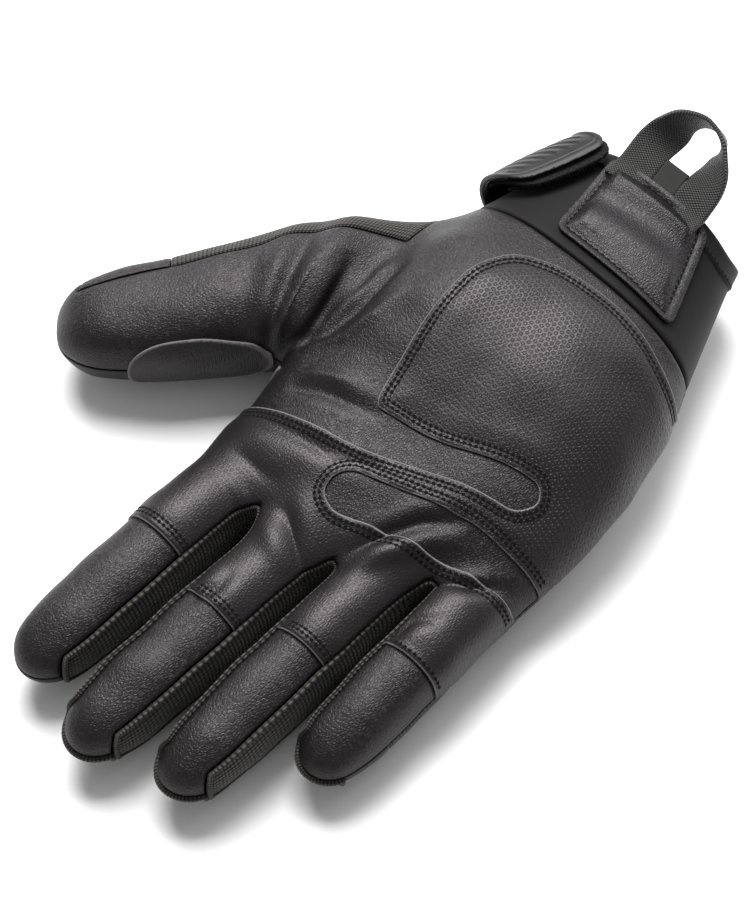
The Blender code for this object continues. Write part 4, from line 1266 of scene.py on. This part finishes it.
# %% Cuff and hem
CUFF_WALL, HEM_WALL, HEM_LIFT = 2.0 * MM, 3.2 * MM, 0.55 * MM
sewn_panel("cuff_wall", {CUFF, HEM}, cuff_cloth, ["cuff"], CUFF_WALL, 1.4 * MM, 0.6 * MM)
hem_sheet = sheet_of({HEM})
turn_down(hem_sheet, 1.5 * MM, 0.9 * MM)
lift(hem_sheet, HEM_LIFT)
hem_piece = make_piece("cuff_rim", hem_sheet, cuff_cloth, ["cuff_hem"], HEM_WALL)
hem_round = hem_piece.modifiers.new("round edge", "BEVEL")
hem_round.width, hem_round.segments, hem_round.angle_limit = 0.8 * MM, 3, math.radians(50)
hem_line = sheet_of({HEM})
draw_in(hem_line, 1.5 * MM)
hem_outward = hem_line.verts.layers.float_vector["outward"]
for path in border_paths(hem_line):
    if sum(vert.co.y for vert in path) / len(path) > -WRIST_BEHIND - CUFF_LENGTH:
        sew([vert.co + vert[hem_outward] * 0.5 * MM for vert in path],
            [vert[hem_outward].copy() for vert in path])
hem_line.free()

# %% [markdown]
# ## The wrist patch
# The patch is soft leather folded over the end of the pull loop and sewn down all round. Two broad soft
# ridges lie across it, and it is pressed down along the stitches of its border.

# %% Wrist patch
PATCH_WIDTH, PATCH_RIM_WIDTH, PATCH_LENGTH = 0.0440, 0.0360, 0.0325
PATCH_SHIFT, PATCH_RIM_SHIFT, PATCH_FROM_SEAM, PATCH_CORNER = -0.0130, -0.0030, 0.0055, 0.0040
PATCH_STITCH = 2.3             # millimetres from its edge
PATCH_RIDGES = 1.9             # how many ridges its length would hold
patch_near = -WRIST_BEHIND - PATCH_FROM_SEAM
patch_far = patch_near - PATCH_LENGTH
patch_outline = rounded([
    (PATCH_SHIFT - PATCH_WIDTH / 2, patch_near), (PATCH_SHIFT + PATCH_WIDTH / 2, patch_near),
    (PATCH_RIM_SHIFT + PATCH_RIM_WIDTH / 2, patch_far), (PATCH_RIM_SHIFT - PATCH_RIM_WIDTH / 2, patch_far),
], PATCH_CORNER)


def patch_height(vert, rim):
    """Height of the patch over the cuff: pressed at its stitches, swelling into two ridges inside them."""
    along = (patch_near - vert.co.y) / PATCH_LENGTH
    inner = eased(clamped((vert[rim] - PATCH_STITCH) / 4))
    wander = 0.10 * math.sin(vert.co.x * 90) - 0.10
    ridge = 0.5 - 0.5 * math.cos(2 * math.pi * (along * PATCH_RIDGES + wander))
    pressed = math.exp(-((vert[rim] - PATCH_STITCH) / 0.8) ** 2)
    return (1.5 + inner * (0.5 + 1.5 * ridge) - 0.55 * pressed) * MM


patch_sheet = sheet_of({CUFF, HEM})
under_cuff = [face for face in patch_sheet.faces if face.normal.z < 0]
bmesh.ops.delete(patch_sheet, geom=under_cuff, context="FACES")
cut_sheet(patch_sheet, patch_outline)
patch_rim = patch_sheet.verts.layers.float["rim"]
bmesh.ops.subdivide_edges(patch_sheet, edges=patch_sheet.edges, cuts=1, use_grid_fill=True)
lift(patch_sheet, lambda vert: patch_height(vert, patch_rim))
patch_tree = BVHTree.FromBMesh(patch_sheet)
make_piece("cuff_patch", patch_sheet, patch_leather, ["wrist_patch"], 1.4 * MM)
for spots, normals in drop(patch_tree, inset_line(patch_outline, PATCH_STITCH * MM)):
    sew(spots, normals, 2.2 * MM, 0.62, 0.6)

# %% [markdown]
# ## The closure tab, its hooks and the pile pad
# The tab is moulded rubber, sewn down at the back of the cuff. It bends over the thumb side and its free
# edge stands off the cuff, so the hooks below it show as a fuzzy dark edge. It has a raised rim and plain
# slanting bars.

# %% Closure
TAB_LENGTH, TAB_WIDTH, TAB_CORNER, TAB_FROM_SEAM = 0.0310, 0.0365, 0.0060, 0.0095
TAB_OVER, TAB_SLANT, TAB_TURN, TAB_BULGE, TAB_STANDS_OFF = 0.0140, 0.0035, 12.0, 0.0036, 0.0010
HOOK_WIDTH, HOOK_MARGIN, PAD_MARGIN = 0.0170, 0.0005, 0.0045
UNDER_TAB, TAB_SEWN, TAB_BEND = 0.0016, 0.30, 0.62  # the last two as shares of the width
BAR_PITCH, BAR_FIELD, BAR_SLANT = 3.4 * MM, 0.0250, 0.45
tab_turn = math.radians(TAB_TURN)
tab_frame = Matrix((
    (0, -math.sin(tab_turn), math.cos(tab_turn), CUFF_SHIFT),
    (1, 0, 0, -WRIST_BEHIND - TAB_FROM_SEAM),
    (0, math.cos(tab_turn), math.sin(tab_turn), PALM_HEIGHT / 2),
    (0, 0, 0, 1),
))
tab_back = tab_frame.inverted()


def tab_outline(width, margin):
    low, high = TAB_OVER - width, TAB_OVER - margin
    far = margin - TAB_LENGTH
    return rounded([(far, low), (-margin, low), (-margin, high), (far, high + TAB_SLANT)], TAB_CORNER)


def tab_height(place):
    """Height over the cuff: none where the tab is sewn down, most at its bend, less at its free edge."""
    along, around, _ = tab_back @ place
    share = max(0.0, 1 - (TAB_OVER - TAB_SLANT * along / TAB_LENGTH - around) / TAB_WIDTH)
    rise = clamped((share - TAB_SEWN) / (TAB_BEND - TAB_SEWN))
    past = max(0.0, (share - TAB_BEND) / (1 - TAB_BEND))
    bend = (TAB_BULGE + UNDER_TAB) * math.sin(math.pi / 2 * rise)
    return mix(bend, TAB_STANDS_OFF + UNDER_TAB, past * past)


def tab_layer(outline, panels, over, stands_off=True):
    """A layer that lies this far over the cuff, and further where the tab stands off, cut to its outline."""
    sheet = sheet_of(panels)
    lift(sheet, lambda vert: over + (tab_height(vert.co) if stands_off else 0))
    cut_sheet(sheet, outline, tab_back)
    return sheet


def tab_relief(vert, rim):
    """The tab's raised rim and rounded edge, and the slanting bars inside it."""
    along, around, _ = tab_back @ vert.co
    raised = 1 - clamped((vert[rim] - 1.3) / 0.6)
    edge = max(0.0, 1 - vert[rim] / 0.9)
    bar = clamped(0.5 + 1.6 * math.sin(2 * math.pi * (along + BAR_SLANT * around) / BAR_PITCH))
    inside = clamped((vert[rim] - 3.2) / 0.6) if around > TAB_OVER - BAR_FIELD else 0
    return (0.40 * raised + 0.28 * bar * inside - 0.50 * edge * edge) * MM


tab_sheet = tab_layer(tab_outline(TAB_WIDTH, 0), {CUFF, HEM}, 1.9 * MM)
bmesh.ops.subdivide_edges(tab_sheet, edges=tab_sheet.edges, cuts=1, use_grid_fill=True)
tab_rim = tab_sheet.verts.layers.float["rim"]
lift(tab_sheet, lambda vert: tab_relief(vert, tab_rim))
make_piece("tab", tab_sheet, tab_rubber, ["closure_tab"], 1.7 * MM)
hook_sheet = tab_layer(tab_outline(HOOK_WIDTH, HOOK_MARGIN), {CUFF, HEM}, 0.15 * MM)
pile_sheet = tab_layer(tab_outline(HOOK_WIDTH, PAD_MARGIN), {CUFF}, 0.7 * MM, False)


HAIR_LENGTH, HAIR_WIDTH, HAIRS_EACH = 0.9 * MM, 0.09 * MM, 9


def fuzz(sheet):
    """Short hairs that stand out from the border of a sheet, in many directions."""
    draw = np.random.default_rng(11)
    outward = sheet.verts.layers.float_vector["outward"]
    hairs = bmesh.new()
    for edge in [edge for edge in sheet.edges if edge.is_boundary]:
        first, second = edge.verts
        square = (second.co - first.co).cross(first[outward]).normalized()
        if square.dot(edge.link_faces[0].calc_center_median() - first.co) > 0:
            square.negate()
        for _ in range(HAIRS_EACH):
            root = first.co.lerp(second.co, draw.uniform()) - first[outward] * draw.uniform(0, 0.8) * MM
            lean = (square + Vector(draw.normal(size=3)) * 0.45).normalized()
            tip = root + lean * HAIR_LENGTH * draw.uniform(0.5, 1)
            side = (tip - root).cross(first[outward]).normalized() * HAIR_WIDTH
            up = (tip - root).cross(side).normalized() * HAIR_WIDTH
            base = [hairs.verts.new(root + offset) for offset in (side, up, -side, -up)]
            end = hairs.verts.new(tip)
            for a, b in zip(base, base[1:] + base[:1]):
                hairs.faces.new((a, b, end))
    return hairs


make_piece("hook_fuzz", fuzz(hook_sheet), pile_cloth)
make_piece("hooks", hook_sheet, pile_cloth, ["hook_pad"], 0.9 * MM)
pile_outward = pile_sheet.verts.layers.float_vector["outward"]
for path in border_paths(pile_sheet):
    spots = smoothed([vert.co.copy() for vert in path], 4)
    sew(spots, [vert[pile_outward].copy() for vert in path], 0.9 * MM, 0.62, 1.5, False)
make_piece("pile_field", pile_sheet, pile_cloth, ["pile_pad"], 0.7 * MM)

# %% [markdown]
# ## The pull loop and its label
# The loop is flat webbing. Its legs come out from under the patch side by side, and its arch stands on
# edge. A short ribbon lies between the legs.

# %% Pull loop
WEBBING_WIDTH, WEBBING = 0.0120, 1.3 * MM
LOOP_LEGS_APART, LOOP_LEG, LOOP_ARCH, LOOP_ARCH_WIDTH, LOOP_RISE = 0.0205, 0.0140, 0.0076, 0.0162, 29.0
LOOP_TWIST = (0.02, 0.48)      # it turns on edge between these shares of the part past the rim
LOOP_HIDDEN = 0.0080           # how far each leg goes in under the patch
LOOP_LAID = 1.0 * MM           # height of the hidden webbing's middle over the cuff
LOOP_WOVEN = 0.072             # length of its weave map
LABEL_WIDTH, LABEL_LENGTH, LABEL_HIDDEN, LABEL = 0.0082, 0.0060, 0.0040, 0.8 * MM
loop_rise = math.radians(LOOP_RISE)
loop_out = Vector((0, -math.cos(loop_rise), math.sin(loop_rise)))
loop_face = Vector((0, math.sin(loop_rise), math.cos(loop_rise)))
label_low, label_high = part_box("loop_label")
loop_start = Vector((PATCH_RIM_SHIFT, label_high.y - 0.2 * MM, label_low.z + 0.5 * MM))
skin_shape = bmesh.new()
skin_shape.from_mesh(skin)
skin_tree = BVHTree.FromBMesh(skin_shape)


def on_edge(share):
    """How far the webbing has turned on edge at this share of the part past the rim, in radians."""
    turned = clamped((min(share, 1 - share) - LOOP_TWIST[0]) / (LOOP_TWIST[1] - LOOP_TWIST[0]))
    return eased(turned) * math.pi / 2


ARCH_LENGTH = math.pi * (LOOP_ARCH_WIDTH / 2 + LOOP_ARCH) / 2
LOOP_LENGTH = 2 * LOOP_LEG + ARCH_LENGTH


def loop_middle(here):
    """The middle of the webbing at this length along it, and before or past its ends on the cuff."""
    half, arch_half = LOOP_LEGS_APART / 2, LOOP_ARCH_WIDTH / 2
    side = math.copysign(1, LOOP_LENGTH / 2 - here)
    hidden = max(0.0, -here, here - LOOP_LENGTH)
    if hidden:
        x, y = loop_start.x + half * side, loop_start.y + hidden
        return Vector((x, y, ray_down(skin_tree, x, y)[0].z + LOOP_LAID))
    past = min(here, LOOP_LENGTH - here)
    if past < LOOP_LEG:
        drawn, whole = (1 - math.cos(on_edge(length / LOOP_LENGTH)) for length in (here, LOOP_LEG))
        x, y = mix(half, arch_half, drawn / whole) * side, past
    else:
        angle = math.pi * (here - LOOP_LEG) / ARCH_LENGTH
        x, y = arch_half * math.cos(angle), LOOP_LEG + LOOP_ARCH * math.sin(angle)
    return loop_start + Vector((x, 0, 0)) + loop_out * y


def loop_line(steps=160, rounds=14):
    """Points along the middle of the webbing, with the kink where it leaves the cuff smoothed out."""
    length = LOOP_LENGTH + 2 * LOOP_HIDDEN
    spots = [loop_middle(length * i / steps - LOOP_HIDDEN) for i in range(steps + 1)]
    for _ in range(rounds):
        inner = [(a + b * 2 + c) / 4 for a, b, c in zip(spots[:-2], spots[1:-1], spots[2:])]
        spots = [spots[0], *inner, spots[-1]]
    return spots


loop_spots = loop_line()


def loop_spot(share):
    """The middle of the webbing and the direction of its width, from one leg over the arch to the other."""
    here = share * (len(loop_spots) - 1)
    i = min(int(here), len(loop_spots) - 2)
    past_rim = (share * (LOOP_LENGTH + 2 * LOOP_HIDDEN) - LOOP_HIDDEN) / LOOP_LENGTH
    angle = on_edge(past_rim)
    angle = angle if share < 0.5 else math.pi - angle
    side = Vector((1, 0, 0)) * math.cos(angle) + loop_face * math.sin(angle)
    return loop_spots[i].lerp(loop_spots[i + 1], here - i), side


def webbing_place(s, t):
    centre, side = loop_spot(s)
    ahead, behind = loop_spot(min(1, s + 0.004))[0], loop_spot(max(0, s - 0.004))[0]
    run = (ahead - behind).normalized()
    side = (side - run * side.dot(run)).normalized()
    return centre + side * (t - 0.5) * WEBBING_WIDTH


loop_sheet = mapped_grid(150, 12, webbing_place, (LOOP_WOVEN, WEBBING_WIDTH))
loop_piece = make_piece("webbing_loop", loop_sheet, strap_weave, ["pull_loop"], WEBBING)
loop_piece.modifiers["wall"].offset = 0
label_whole = LABEL_LENGTH + LABEL_HIDDEN


def label_place(s, t):
    return loop_start + loop_out * (s * label_whole - LABEL_HIDDEN) + Vector(((t - 0.5) * LABEL_WIDTH, 0, 0))


label_sheet = mapped_grid(16, 12, label_place, (label_whole, LABEL_WIDTH))
label_piece = make_piece("ribbon_label", label_sheet, ribbon_weave, ["loop_label"], LABEL)
label_piece.modifiers["wall"].offset = 0

# %% The sewing becomes two pieces
make_piece("stitching", sewn_threads, sewing_thread)
make_piece("stitch_hole_shade", sewn_holes, needle_hole_shade)

# %% [markdown]
# ## Floor, light and camera
# The photograph is a plain studio picture: a white floor that runs into a white background, one large soft
# light above, and a weak one in front. The camera looks down at about 58 degrees with a long lens.

# %% Floor
FLOOR_SIZE, FLOOR_UNDER = 3, 0.02 * MM


def make_floor():
    sheet = bmesh.new()
    bmesh.ops.create_grid(sheet, x_segments=1, y_segments=1, size=FLOOR_SIZE)
    bmesh.ops.translate(sheet, verts=sheet.verts, vec=(0, 0, -FLOOR_UNDER))
    mesh = bpy.data.meshes.new("floor")
    sheet.to_mesh(mesh)
    sheet.free()
    floor = new_object("floor", mesh)
    finish = Finish("paper")
    mottle = finish.noise(finish.place(), 3, 2.0)
    white = finish.mixed(mottle, (0.90, 0.90, 0.90, 1), (0.93, 0.93, 0.93, 1))
    mesh.materials.append(finish.done(white, 0.8))


make_floor()

# %% Lights and camera
def area_light(name, place, size, power):
    light = bpy.data.lights.new(name, "AREA")
    light.size, light.energy = size, power
    lamp = new_object(name, light)
    lamp.location = place
    lamp.rotation_euler = (Vector((0, 0, 0.02)) - Vector(place)).to_track_quat("-Z", "Y").to_euler()


area_light("key", (0.70, -0.50, 1.35), 1.0, 50)
area_light("fill", (0.10, -1.15, 0.80), 1.0, 8)
world = bpy.data.worlds.new("studio")
world.use_nodes = True
sky = world.node_tree.nodes["Background"].inputs
sky["Color"].default_value = (1, 1, 1, 1)
sky["Strength"].default_value = 0.38
bpy.context.scene.world = world
bpy.context.scene.view_settings.view_transform = "Standard"

AZIMUTH, ELEVATION, AWAY = math.radians(225), math.radians(58), 0.8
LENS, SENSOR, AIM = 115.2, 36, Vector((0, 0, 0.025))
back = Vector((math.sin(AZIMUTH) * math.cos(ELEVATION), -math.cos(AZIMUTH) * math.cos(ELEVATION),
               math.sin(ELEVATION)))
lens = bpy.data.cameras.new("camera")
lens.lens, lens.sensor_width = LENS, SENSOR
camera = new_object("camera", lens)
camera.location = AIM + back * AWAY
camera.rotation_euler = (-back).to_track_quat("-Z", "Y").to_euler()
bpy.context.scene.camera = camera
